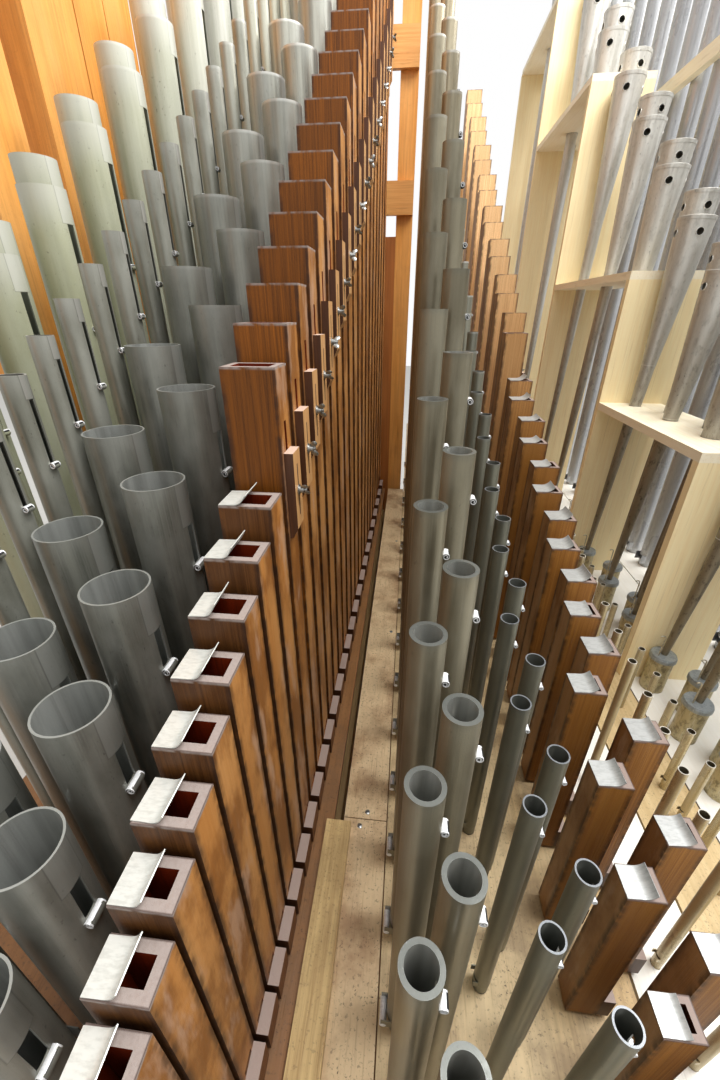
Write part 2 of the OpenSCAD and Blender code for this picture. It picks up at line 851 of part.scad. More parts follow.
module passage_boards() {
    x1 = left_side + right_chest_x - board_gap / 2;
    joint = near_end + passage_joint;
    color("#cdb58c") {
        bar([left_side + passage_x, near_end, rack_z], [x1, joint, board_z]);
        bar([left_side + passage_x, joint + 1.5, rack_z], [x1, left_far_end, board_z]);
    }
}

module loose_batten() {
    batten_l = 500;
    pine()
        bar(
            [left_side + left_chest_end - 12, near_end, board_z],
            [left_side + passage_x + 14, near_end + batten_l, board_z + 12]
        );
}

module middle_rackboard() {
    color("#cbb083")
        drilled_board(
            right_chest_x, middle_board_x, far_end, rack_z, board_z,
            concat(thick_holes(0), slender_holes(0), right_wood_holes(0))
        );
}

module pale_rackboard() {
    color("#efe6cf")
        drilled_board(
            middle_board_x + board_gap, pale_board_x, far_end, rack_z, board_z,
            small_holes(0)
        );
}

module reed_rackboard() {
    color("#dcc69a")
        drilled_board(
            pale_board_x + board_gap, reed_board_x, far_end, rack_z, board_z,
            concat(tiny_holes(0), reed_holes(0))
        );
}

module tall_rackboard() {
    color("#dcc69a")
        drilled_board(
            reed_board_x + board_gap, right_chest_end, far_end, rack_z, board_z,
            tall_holes(0)
        );
}

module painted_pipes() {
    color("#9aa08c")
        for (n = painted_notes)
            stand_at(painted_at(n)) {
                d = painted_dia(n);
                flue_pipe(d, painted_top(n), tin_wall + 0.6, 0, 0, d * 0.7, d * 2.2, 9, 0);
            }
}

module string_pipes() {
    pipe_metal()
        for (n = string_notes)
            stand_at(string_at(n)) {
                d = string_dia(n);
                flue_pipe(d, string_top(n), tin_wall, 0, 0, d * 0.9, d * 2.6, 8, 0);
            }
}

module flute_pipes() {
    pipe_metal()
        for (n = flute_notes)
            stand_at(flute_at(n)) {
                d = flute_dia(n);
                flue_pipe(d, flute_top(n), tin_wall + 0.6, 0, 0, d * 0.77, d * 0.75, 10, 0);
            }
}

module left_wood_pipes() {
    oak()
        for (n = left_wood_notes)
            stand_at(left_wood_at(n)) {
                d = left_wood_deep(n);
                wood_pipe(left_wood_wide(n), d, left_wood_top(n), left_wood_wall, n < left_flaps ? 0 : d * 1.5);
            }
}

module left_mouth_caps() {
    color("#b98e58")
        for (n = left_wood_notes)
            stand_at(left_wood_at(n)) mouth_cap(left_wood_wide(n), left_wood_deep(n));
}

module left_flap_sheets() {
    color("#c8c8c2")
        for (n = [0 : left_flaps - 1])
            stand_at(left_wood_at(n))
                translate([0, 0, left_wood_top(n)])
                    flap_sheet(left_wood_wide(n), left_wood_deep(n), left_flap_cover);
}

// A slide that closes the lower part of the slot, with its lower end cut slanting
module tuning_slide(w, d, top) {
    slide_l = d * 2.4;
    slide_w = d * 0.7;
    translate([w / 2, slide_w / 2, top - d * 2.05 - slide_l])
        rotate([90, 0, 0])
            linear_extrude(slide_w)
                polygon([
                    [0, 0], [slide_t * 0.35, 0], [slide_t, slide_t * 1.2], [slide_t, slide_l], [0, slide_l]
                ]);
}

module left_tuning_slides() {
    color("#8a5a30")
        for (n = [left_flaps : left_last])
            stand_at(left_wood_at(n))
                tuning_slide(left_wood_wide(n), left_wood_deep(n), left_wood_top(n));
}

module thick_pipes() {
    pipe_metal()
        for (n = thick_notes)
            stand_at(thick_at(n)) {
                d = thick_dia(n);
                flue_pipe(d, thick_top(n), thick_wall, 180, 0, d * 0.8, d * 0.7, 6, 6);
            }
}

module slender_pipes() {
    pipe_metal()
        for (n = slender_notes)
            stand_at(slender_at(n)) {
                d = slender_dia(n);
                flue_pipe(d, slender_top(n), tin_wall, 180, 0, d * 0.9, d * 0.8, 5, 0);
            }
}

module right_wood_pipes() {
    color("#9a4f22")
        for (n = right_wood_notes)
            stand_at(right_wood_at(n)) {
                d = right_wood_deep(n);
                wood_pipe(right_wood_wide(n), d, right_wood_top(n), right_wood_wall, n < right_flaps ? 0 : d * 1.5);
            }
}

module right_mouth_caps() {
    color("#b98e58")
        for (n = right_wood_notes)
            stand_at(right_wood_at(n)) mouth_cap(right_wood_wide(n), right_wood_deep(n));
}

module right_flap_sheets() {
    color("#d6d6d2")
        for (n = [0 : right_flaps - 1])
            stand_at(right_wood_at(n))
                translate([0, 0, right_wood_top(n)])
                    flap_sheet(right_wood_wide(n), right_wood_deep(n), right_flap_cover);
}

module right_tuning_slides() {
    color("#8a5a30")
        for (n = [right_flaps : right_last])
            stand_at(right_wood_at(n))
                tuning_slide(right_wood_wide(n), right_wood_deep(n), right_wood_top(n));
}

module small_pipes() {
    color("#a59a80")
        for (n = small_notes)
            stand_at(small_at(n))
                flue_pipe(small_d, grown(small_len, small_growth, n), 1.2, 180, 0, 0, 0, 0, 0);
}

module tiny_pipes() {
    color("#a59a80")
        for (n = tiny_notes)
            stand_at(tiny_at(n))
                flue_pipe(small_d, grown(tiny_len, tiny_growth, n), 1.2, 180, 0, 0, 0, 0, 0);
}

// A boot is a hollow cup on a conical toe
module reed_boot() {
    r = boot_d / 2;
    taper = foot_h - rack_t - 4;
    rotate_extrude()
        polygon([
            [0, -foot_h], [toe_d / 2, -foot_h], [r, -foot_h + taper], [r, boot_h],
            [r - boot_wall, boot_h], [r - boot_wall, 0], [0, 0]
        ]);
}

module reed_boots() {
    color("#a89a76")
        for (n = reed_notes)
            stand_at(reed_at(n)) reed_boot();
}

// The block closes the boot: a disc on its rim and a plug inside it
module reed_block() {
    rim = boot_d / 2 + 3;
    plug = boot_d / 2 - boot_wall - fit_gap;
    translate([0, 0, boot_h])
        rotate_extrude()
            polygon([
                [0, -14], [plug, -14], [plug, 0], [rim, 0], [rim, block_t * 0.6],
                [rim - 2, block_t], [0, block_t]
            ]);
}

module reed_blocks() {
    color("#9aa0a0")
        for (n = reed_notes)
            stand_at(reed_at(n)) reed_block();
}

// A slender conical resonator with a flaring head, a cap with a rolled rim, and three tone holes
module resonator(n) {
    low = reed_low_d / 2;
    head = reed_head(n);
    z0 = resonator_z();
    top = reed_top(n);
    lid = 2;
    seam = 0.8;
    rim_h = head * rim_share;
    neck_z = flare_z(n);
    neck = resonator_dia(n, neck_z) / 2;
    rim_low = resonator_dia(n, top - rim_h) / 2;
    hole_d = head * hole_share;
    hole_z = top - head * hole_depth;
    difference() {
        rotate_extrude()
            polygon([
                [0, z0], [low, z0], [neck, neck_z], [rim_low, top - rim_h], [rim_low + seam, top - rim_h],
                [head / 2 + seam, top - seam], [head / 2, top], [0, top],
                [0, top - lid], [head / 2 - reed_wall - 0.4, top - lid],
                [neck - reed_wall, neck_z], [low - reed_wall, z0 + 4], [0, z0 + 4]
            ]);
        for (a = [0 : 120 : 359])
            rotate([0, 0, a - 100])
                translate([0, 0, hole_z])
                    rotate([0, 90, 0]) cylinder(h = head, d = hole_d);
    }
}

// Leans a resonator to the right about the edge that it stands on
module lean(n) {
    edge = reed_low_d / 2;
    translate([edge, 0, resonator_z()])
        rotate([0, atan(reed_lean / (reed_top(n) - resonator_z())), 0])
            translate([-edge, 0, -resonator_z()]) children();
}

module reed_resonators() {
    color("#a9a8a2")
        for (n = reed_notes)
            stand_at(reed_at(n)) lean(n) resonator(n);
}

// A tuning wire rises from the block and hooks over at its top
module tuning_wire() {
    rise = 52;
    hook = 6;
    translate([-boot_d * 0.3, -boot_d * 0.12, resonator_z() - 1]) {
        cylinder(h = rise, d = wire_d, $fn = 16);
        translate([0, 0, rise])
            rotate([90, 0, 0])
                translate([-hook, 0, 0])
                    rotate_extrude(angle = 150, $fn = 24) translate([hook, 0]) circle(d = wire_d, $fn = 16);
    }
}

module tuning_wires() {
    color("#b8b4a4")
        for (n = reed_notes)
            stand_at(reed_at(n)) tuning_wire();
}

// Space that a resonator needs in a rack shelf
module resonator_room(n, z0, z1) {
    p = reed_at(n);
    translate([p[0], p[1], board_z])
        lean(n)
            translate([0, 0, z0 - 4])
                cylinder(
                    h = z1 - z0 + 8,
                    d1 = resonator_dia(n, z0 - 4) + 2 * room_gap,
                    d2 = resonator_dia(n, z1 + 4) + 2 * room_gap
                );
}

module rack_uprights() {
    pine()
        for (k = [0 : upright_count]) {
            y = upright_y(k);
            top = shelf_heights[min(k, upright_count - 1)];
            depth = rack_depth + rack_depth_step * min(k, upright_count - 2);
            bar(
                [left_side + rack_front_x, y - rack_board_t / 2, board_z],
                [left_side + rack_front_x + depth, y + rack_board_t / 2, board_z + top]
            );
        }
}

module rack_shelves() {
    pine()
        for (k = [0 : upright_count - 1]) {
            z = shelf_heights[k];
            depth = rack_depth + rack_depth_step * min(k, upright_count - 2);
            difference() {
                bar(
                    [left_side + rack_front_x, upright_y(k) - rack_board_t / 2, board_z + z],
                    [left_side + rack_front_x + depth, upright_y(k + 1) - rack_board_t / 2, board_z + z + rack_board_t]
                );
                for (n = reed_notes)
                    if (note_y(n) > upright_y(k) && note_y(n) < upright_y(k + 1) && reed_top(n) > z - 4)
                        resonator_room(n, z - 1, z + rack_board_t + 1);
            }
        }
}

module tall_pipes() {
    pipe_metal()
        for (n = tall_notes)
            stand_at(tall_at(n))
                flue_pipe(tall_d, tall_top(n), tin_wall + 0.6, 180, 0, 0, 0, 0, 0);
}

module tall_pipe_rail() {
    pine()
        bar(
            [left_side + tall_x - tall_d / 2 - 24, note_y(tall_first), board_z + tall_rail_z],
            [left_side + tall_x - tall_d / 2 - fit_gap, far_end - 20, board_z + tall_rail_z + 45]
        );
}

base_posts();
long_rails();
cross_ties();
side_posts();
side_top_rail();
back_post();
frame_rails();
back_panel();
left_windchest();
right_windchest();
sliders();
left_upperboards();
right_upperboards();
rack_pillars();
metal_rackboard();
wood_rackboard();
passage_ledger();
passage_boards();
loose_batten();
middle_rackboard();
pale_rackboard();
reed_rackboard();
tall_rackboard();
painted_pipes();
string_pipes();
flute_pipes();
left_wood_pipes();
left_mouth_caps();
left_flap_sheets();
left_tuning_slides();
thick_pipes();
slender_pipes();
right_wood_pipes();
right_mouth_caps();
right_flap_sheets();
right_tuning_slides();
small_pipes();
tiny_pipes();
reed_boots();
reed_blocks();
reed_resonators();
tuning_wires();
rack_uprights();
rack_shelves();
tall_pipes();
tall_pipe_rail();
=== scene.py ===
"""Looks of the pipe organ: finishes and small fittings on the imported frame.

Lengths are in metres. X runs across the ranks, Y from the treble end to the bass end, and Z up.
"""

import math
import random

import bpy
import numpy as np
from mathutils import Matrix, Vector


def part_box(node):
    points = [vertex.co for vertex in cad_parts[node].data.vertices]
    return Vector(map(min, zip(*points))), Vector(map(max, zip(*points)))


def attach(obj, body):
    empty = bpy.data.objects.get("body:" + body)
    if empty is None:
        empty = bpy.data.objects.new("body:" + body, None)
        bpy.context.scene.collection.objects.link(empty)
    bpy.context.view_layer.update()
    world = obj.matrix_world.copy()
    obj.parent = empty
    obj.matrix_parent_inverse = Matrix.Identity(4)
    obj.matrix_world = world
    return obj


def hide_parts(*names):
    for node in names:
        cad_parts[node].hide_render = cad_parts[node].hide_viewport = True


# The photograph's view, worked out from the straight rows of pipes
CAMERA_X = -0.067
CAMERA_Y = -1.8285
LENS_ABOVE_BOARD = 0.83
FOCAL_PIXELS = 436.0
PHOTO_HEIGHT = 1080.0
SENSOR = 36.0
TILT_DOWN = 27.7
TURN_LEFT = 6.03

# Strength of the even light from all sides
WORLD_LIGHT = 0.66
FLOOR_SIZE = 30

# Stretch of the timber's grain, which is small along the grain
ALONG_X = (3.0, 80, 80)
ALONG_Y = (80, 3.0, 80)
UPRIGHT = (80, 80, 3.0)
PIPE_GRAIN = (230, 230, 3.2)
BLOCK_GRAIN = (150, 150, 8)

# How far the tone differs from pipe to pipe
METAL_SPREAD = 0.35
WOOD_SPREAD = 0.5

# The painted highlight on the lip of a pipe, stronger where the pipe is lit: the depths below its
# top where it starts to fade and has gone, and how strong it is
LIP_HIGHLIGHT_FADE = (0.002, 0.006)
LIP_HIGHLIGHT_SHARE = 0.85

# The tuning slots as they are in the part: the drop from the top and the length, in diameters
# of the pipe, and the thickness of the plain roll
SLOTS = {
    "painted_pipes": {"drop": 0.7, "length": 2.2, "roll": 0.009},
    "string_pipes": {"drop": 0.9, "length": 2.6, "roll": 0.008},
    "flute_pipes": {"drop": 0.77, "length": 0.75, "roll": 0.010},
    "thick_pipes": {"drop": 0.8, "length": 0.7, "roll": 0.0085},
    "slender_pipes": {"drop": 0.9, "length": 0.8, "roll": 0.006},
}
# Share of its diameter that the slot's roll is wide, and that the strip above the slot is wide
ROLL_WIDTH = 0.26
STRIP_WIDTH = 0.2

# The roll's axis, in thicknesses of the plain roll: out from the pipe's face and below the slot
ROLL_SET_OUT = 0.3
ROLL_DROP = 0.4
# The bright roll covers the plain one: how much wider and thicker it is, its sheet and its hollow ends,
# and the radius of the dark core inside it as a share of the roll's. The core is painted shade.
ROLL_OVERHANG = 0.003
ROLL_SKIN = 0.0006
ROLL_SHEET = 0.0007
ROLL_HOLLOW = 0.0013
ROLL_HEART = 0.86

# The rollers before the mouths, over the plain beards of the part. The reach from the pipe's axis
# and the half width are in radii of the pipe.
MOUTH_HEIGHT = 0.022
BEARD_THICKNESS = 0.006
BEARD_REACH = 1.24
BEARD_SET_OUT = 0.1
BEARD_HALF_WIDTH = 0.7
ROLLER_OVERHANG = 0.002
ROLLER_SKIN = 0.0016
ROLLER_BEVEL = 0.0008

# Wooden ranks: how many pipes have a flap, and the tuning slides on the others, in depths of the pipe
LEFT_FLAPS = 9
RIGHT_FLAPS = 21
SLIDE_DROP = 2.05
SLIDE_LENGTH = 2.4
SLIDE_THICKNESS = 0.011
NUT_PLACE = 0.45
# The slit each nut runs in is a dark strip on the slide, painted shade: its half length as a share of the
# slide's length, its half width, and how far it is sunk and stands proud
SLIT_HALF_LENGTH = 0.3
SLIT_HALF_WIDTH = 0.0014
SLIT_SUNK = 0.0004
SLIT_PROUD = 0.0002

# Flaps: the share of the pipe that the flat part covers, the range of the bend in degrees, and the lip
# and the bend's radius as shares of the pipe's width
FLAPS = {
    "left": {"cover": 0.28, "bends": (48, 64), "lip": 0.15, "curl": 0.22},
    "right": {"cover": 0.42, "bends": (32, 70), "lip": 0.06, "curl": 0.34},
}
FLAP_THICKNESS = 0.0009
FLAP_BELLY = 0.0004
FLAP_MARGIN = 0.002
FLAP_LIFT = 0.0001

# Resonators. Depths below the cap are in diameters of the head, and widths in its radii.
FLARE_LENGTH = 4.2
FLARE_START = 0.42
HOLE_DEPTH = 0.4
HOLE_SHARE = 0.19
RIM_SHARE = 0.1
TONE_HOLES = 4
SEAM_PLACE = 0.97
REED_SEAM = 0.0008
REED_FOOT = 0.007
REED_WALL = 0.0016
HEAD_WALL = 0.002
CAP_THICKNESS = 0.002
FOOT_FLOOR = 0.004
# Height of a tone hole's collar over the resonator, how deep it reaches in, and its play in the hole
COLLAR_RISE = 0.0005
COLLAR_ROOT = 0.0016
COLLAR_PLAY = 0.0001
# The top ring of a leaning resonator lies within this height
REED_BAND = 0.006

# The board under the reeds turns white here, behind a joint of this half width
STRIP_START = 0.518
JOINT_HALF_WIDTH = 0.0015

# Turns that lay an upright form along Y or point it along X
ALONG_THE_CHEST = Matrix.Rotation(math.pi / 2, 4, "X")
OUTWARDS = Matrix.Rotation(math.pi / 2, 4, "Y")


def colour(text, strength=1.0):
    """A written colour as linear red, green, blue and alpha."""
    values = [int(text[i:i + 2], 16) / 255 for i in (1, 3, 5)]
    linear = [v / 12.92 if v <= 0.04045 else ((v + 0.055) / 1.055) ** 2.4 for v in values]
    return (*[v * strength for v in linear], 1.0)


def as_colour(value):
    """A written colour as numbers. A socket or a colour in numbers stays as it is."""
    return colour(value) if isinstance(value, str) else value


class Wiring:
    """Adds nodes to one shader tree and hands back their sockets."""

    def __init__(self, tree):
        self.tree = tree

    def node(self, kind, sockets=(), **settings):
        made = self.tree.nodes.new("ShaderNode" + kind)
        for name, value in settings.items():
            setattr(made, name, value)
        for key, value in dict(sockets).items():
            if isinstance(value, bpy.types.NodeSocket):
                self.link(value, made.inputs[key])
            else:
                made.inputs[key].default_value = value
        return made

    def link(self, value, socket):
        self.tree.links.new(value, socket)

    def group(self, tree, sockets=()):
        return self.node("Group", sockets, node_tree=tree).outputs

    def attribute(self, name):
        return self.node("Attribute", attribute_name=name).outputs["Vector"]

    def object_place(self):
        return self.node("TexCoord").outputs["Object"]

    def normal(self):
        return self.node("NewGeometry").outputs["Normal"]

    def maths(self, operation, a, b=0.0, c=0.0):
        return self.node("Math", {0: a, 1: b, 2: c}, operation=operation).outputs[0]

    def vector(self, operation, a, b=(0, 0, 0)):
        made = self.node("VectorMath", {0: a, 1: b}, operation=operation)
        return made.outputs["Value" if operation == "DOT_PRODUCT" else "Vector"]

    def scaled(self, vector, factor):
        return self.node("VectorMath", {0: vector, "Scale": factor}, operation="SCALE").outputs["Vector"]

    def joined(self, x=0.0, y=0.0, z=0.0):
        return self.node("CombineXYZ", {0: x, 1: y, 2: z}).outputs[0]

    def parts(self, vector):
        return self.node("SeparateXYZ", {0: vector}).outputs

    def noise(self, place, stretch=None, shift=None, scale=1.0, detail=2.0, roughness=0.5):
        """Noise whose spots are long where the stretch is small. A shift gives other spots."""
        if stretch is not None:
            place = self.vector("MULTIPLY", place, stretch)
        if shift is not None:
            place = self.vector("ADD", place, shift)
        sockets = {"Vector": place, "Scale": scale, "Detail": detail, "Roughness": roughness}
        return self.node("TexNoise", sockets).outputs["Fac"]

    def step(self, value, low, high):
        """Rises softly from nought at the low value to one at the high value."""
        sockets = {"Value": value, "From Min": low, "From Max": high}
        return self.node("MapRange", sockets, interpolation_type="SMOOTHSTEP").outputs[0]

    def fall(self, value, low, high):
        """Falls softly from one at the low value to nought at the high value."""
        return self.maths("SUBTRACT", 1.0, self.step(value, low, high))

    def spots(self, place, low, high, **noise):
        """A mask of the spots where the noise rises from the low to the high value."""
        return self.step(self.noise(place, **noise), low, high)

    def value_mix(self, factor, a, b):
        return self.node("Mix", {0: factor, 2: a, 3: b}, data_type="FLOAT").outputs[0]

    def mix(self, factor, below, over):
        sockets = {0: factor, 6: as_colour(below), 7: as_colour(over)}
        return self.node("Mix", sockets, data_type="RGBA").outputs[2]

    def tint(self, below, mask, share, over):
        """Lays a colour over what is below where the mask is, with a share of its full strength."""
        return self.mix(self.maths("MULTIPLY", mask, share), below, over)


def new_group(name, inputs, outputs):
    """An empty node group with named sockets, as its wiring, inputs and outputs."""
    tree = bpy.data.node_groups.new(name, "ShaderNodeTree")
    for label, kind, value in inputs:
        socket = tree.interface.new_socket(label, in_out="INPUT", socket_type="NodeSocket" + kind)
        socket.default_value = value
    for label, kind in outputs:
        tree.interface.new_socket(label, in_out="OUTPUT", socket_type="NodeSocket" + kind)
    enter = tree.nodes.new("NodeGroupInput").outputs
    leave = tree.nodes.new("NodeGroupOutput").inputs
    return Wiring(tree), enter, leave


def build_pipe_place():
    """Where a point lies on its own pipe, from the pipe's axis and half widths."""
    w, _, leave = new_group("pipe_place", (), (
        ("Local", "Vector"), ("From top", "Float"), ("Inside", "Float"), ("Rim", "Float"),
        ("Corner", "Float"), ("Edge", "Float"), ("Seed", "Float")))
    towards_axis = -0.0015
    level_face = 0.7
    axis = w.attribute("axis")
    reach = w.parts(w.attribute("reach"))
    normal = w.normal()
    local = w.vector("SUBTRACT", w.object_place(), axis)
    x, y, z = w.parts(local)
    outward = w.vector("DOT_PRODUCT", normal, w.vector("MULTIPLY", local, (1, 1, 0)))
    upward = w.maths("GREATER_THAN", w.parts(normal)[2], level_face)
    from_top = w.maths("MULTIPLY", z, -1.0)
    side_x = w.maths("SUBTRACT", reach[0], w.maths("ABSOLUTE", x))
    side_y = w.maths("SUBTRACT", reach[1], w.maths("ABSOLUTE", y))
    w.link(local, leave["Local"])
    w.link(from_top, leave["From top"])
    w.link(w.maths("LESS_THAN", outward, towards_axis), leave["Inside"])
    w.link(w.maths("MULTIPLY", upward, w.fall(from_top, 0.001, 0.003)), leave["Rim"])
    w.link(w.maths("MAXIMUM", side_x, side_y), leave["Corner"])
    w.link(w.maths("MINIMUM", side_x, side_y), leave["Edge"])
    seed = w.node("TexWhiteNoise", {"Vector": axis}, noise_dimensions="3D").outputs["Value"]
    w.link(seed, leave["Seed"])
    return w.tree


def build_metal_marks():
    """Streaks drawn out along a pipe, partly tarnish and partly painted reflection stripes; clouds of
    oxide, dark specks and fine scratches.
    """
    w, enter, leave = new_group("metal_marks", (
        ("Place", "Vector", (0, 0, 0)), ("Seed", "Float", 0.0)), (
        ("Streak", "Float"), ("Cloud", "Float"), ("Speck", "Float"), ("Scratch", "Float")))
    shift = w.joined(w.maths("MULTIPLY", enter["Seed"], 7.0), 0.0, enter["Seed"])
    place = w.vector("ADD", enter["Place"], shift)
    streak = w.spots(place, 0.33, 0.68, stretch=(70, 70, 3), detail=3.0, roughness=0.55)
    cloud = w.spots(place, 0.35, 0.66, stretch=(16, 16, 7), detail=4.0, roughness=0.6)
    speck = w.spots(place, 0.66, 0.74, stretch=(1, 1, 0.6), scale=230.0, roughness=0.6)
    scratch = w.spots(place, 0.6, 0.72, stretch=(420, 420, 24))
    w.link(streak, leave["Streak"])
    w.link(cloud, leave["Cloud"])
    w.link(speck, leave["Speck"])
    w.link(scratch, leave["Scratch"])
    return w.tree


def build_timber_grain():
    """Growth rings, pores and slow fading along the grain. Stretch is large across the grain."""
    w, enter, leave = new_group("timber_grain", (
        ("Place", "Vector", (0, 0, 0)), ("Stretch", "Vector", (90, 90, 3)), ("Seed", "Float", 0.0)), (
        ("Rings", "Float"), ("Pores", "Float"), ("Fading", "Float")))
    shift = w.joined(enter["Seed"], w.maths("MULTIPLY", enter["Seed"], 3.0), enter["Seed"])
    place = w.vector("MULTIPLY", w.vector("ADD", enter["Place"], shift), enter["Stretch"])
    bend = w.noise(place, stretch=(0.3, 0.3, 0.8))
    rings = w.spots(place, 0.3, 0.7, shift=w.joined(bend, bend), scale=1.6, detail=3.0, roughness=0.65)
    pores = w.spots(place, 0.58, 0.7, stretch=(5, 5, 2.2))
    fading = w.spots(place, 0.35, 0.65, stretch=(0.09, 0.09, 0.5), detail=3.0)
    w.link(rings, leave["Rings"])
    w.link(pores, leave["Pores"])
    w.link(fading, leave["Fading"])
    return w.tree


def build_dirt():
    """Dust, crumbs and stains as they lie on boards."""
    w, enter, leave = new_group("dirt", (("Place", "Vector", (0, 0, 0)),), (
        ("Crumbs", "Float"), ("Stain", "Float")))
    place = enter["Place"]
    dusty = w.spots(place, 0.4, 0.6, scale=14.0)
    fine = w.spots(place, 0.6, 0.7, scale=260.0, detail=3.0, roughness=0.7)
    coarse = w.spots(place, 0.57, 0.68, scale=190.0, detail=3.0, roughness=0.7)
    strewn = w.maths("MULTIPLY", fine, dusty)
    stain = w.spots(place, 0.45, 0.68, scale=9.0, detail=5.0, roughness=0.65)
    w.link(w.maths("MAXIMUM", strewn, w.maths("MULTIPLY", coarse, 0.5)), leave["Crumbs"])
    w.link(stain, leave["Stain"])
    return w.tree


def new_material(name, roughness, metallic=0.0):
    """A new material, the wiring of its tree and the inputs of its shader."""
    material = bpy.data.materials.new(name)
    material.use_nodes = True
    shader = material.node_tree.nodes["Principled BSDF"]
    shader.inputs["Roughness"].default_value = roughness
    shader.inputs["Metallic"].default_value = metallic
    return material, Wiring(material.node_tree), shader.inputs


def set_bump(w, shader, height, distance, strength):
    """Raises the surface a little where the height is large."""
    sockets = {"Height": height, "Distance": distance, "Strength": strength}
    w.link(w.node("Bump", sockets).outputs["Normal"], shader["Normal"])


def pipe_metal(name, skin, dark, rim, inside, bloom_and_sheen, far=None, far_from=-1.2, far_to=0.8,
               metallic=0.45, roughness=0.36, streak=0.7, cloud=0.4, speck=0.3,
               worn_top=0.01, top_wear=0.25, strip=None):
    """Dull pipe metal. Far pipes drift towards another colour, as more light has reached them."""
    material, w, shader = new_material(name, roughness, metallic)
    place = w.group(GROUPS["pipe_place"])
    marks = w.group(GROUPS["metal_marks"], {"Place": place["Local"], "Seed": place["Seed"]})
    from_top = place["From top"]
    lit = w.step(w.parts(w.object_place())[1], far_from, far_to)
    tone = w.maths("MULTIPLY_ADD", place["Seed"], METAL_SPREAD, 1.0 - METAL_SPREAD / 2)
    outside = w.scaled(w.mix(lit, skin, far or skin), tone)
    # Dark streaks, partly tarnish and partly painted reflection stripes; oxide clouds in the bloom colour,
    # which is partly a painted sheen
    outside = w.tint(outside, marks["Streak"], streak, dark)
    outside = w.tint(outside, marks["Cloud"], cloud, bloom_and_sheen)
    outside = w.tint(outside, marks["Speck"], speck, "#2b2723")
    outside = w.tint(outside, w.fall(from_top, 0.0, worn_top), top_wear, rim)
    # A pale line round the top: a painted highlight, stronger on the lit far pipes
    lip = w.maths("MULTIPLY", w.fall(from_top, *LIP_HIGHLIGHT_FADE), lit)
    outside = w.tint(outside, lip, LIP_HIGHLIGHT_SHARE, "#eeeee8")
    if strip:
        outside = lay_strip(w, place, outside, strip, rim)
    hollow = w.tint(inside, marks["Streak"], 0.6, dark)
    walls = w.mix(place["Inside"], outside, hollow)
    w.link(w.mix(place["Rim"], walls, rim), shader["Base Color"])
    w.link(w.maths("MULTIPLY_ADD", marks["Cloud"], 0.2, roughness - 0.08), shader["Roughness"])
    height = w.maths("ADD", marks["Cloud"], w.maths("MULTIPLY", marks["Scratch"], 0.3))
    set_bump(w, shader, height, distance=0.0006, strength=0.35)
    return material


def lay_strip(w, place, below, drop, pale):
    """The uncut metal above a tuning slot, as a paler strip with a dark edge."""
    radius = w.parts(w.attribute("reach"))[0]
    x, y, _ = w.parts(place["Local"])
    half_width = w.maths("MULTIPLY", radius, 2 * STRIP_WIDTH)
    from_side = w.maths("SUBTRACT", half_width, w.maths("ABSOLUTE", y))
    from_slot = w.maths("SUBTRACT", w.maths("MULTIPLY", radius, 2 * drop), place["From top"])
    inset = w.maths("MINIMUM", from_side, from_slot)
    front = w.maths("GREATER_THAN", x, 0.0)
    strip = w.maths("MULTIPLY", w.step(inset, 0.0, 0.0006), front)
    line = w.maths("SUBTRACT", w.step(inset, -0.0008, 0.0), w.step(inset, 0.0, 0.001))
    fade = w.value_mix(w.step(y, -0.01, 0.012), 0.55, 0.2)
    paler = w.tint(below, strip, fade, pale)
    return w.tint(paler, w.maths("MULTIPLY", line, front), 0.35, "#3a3a38")


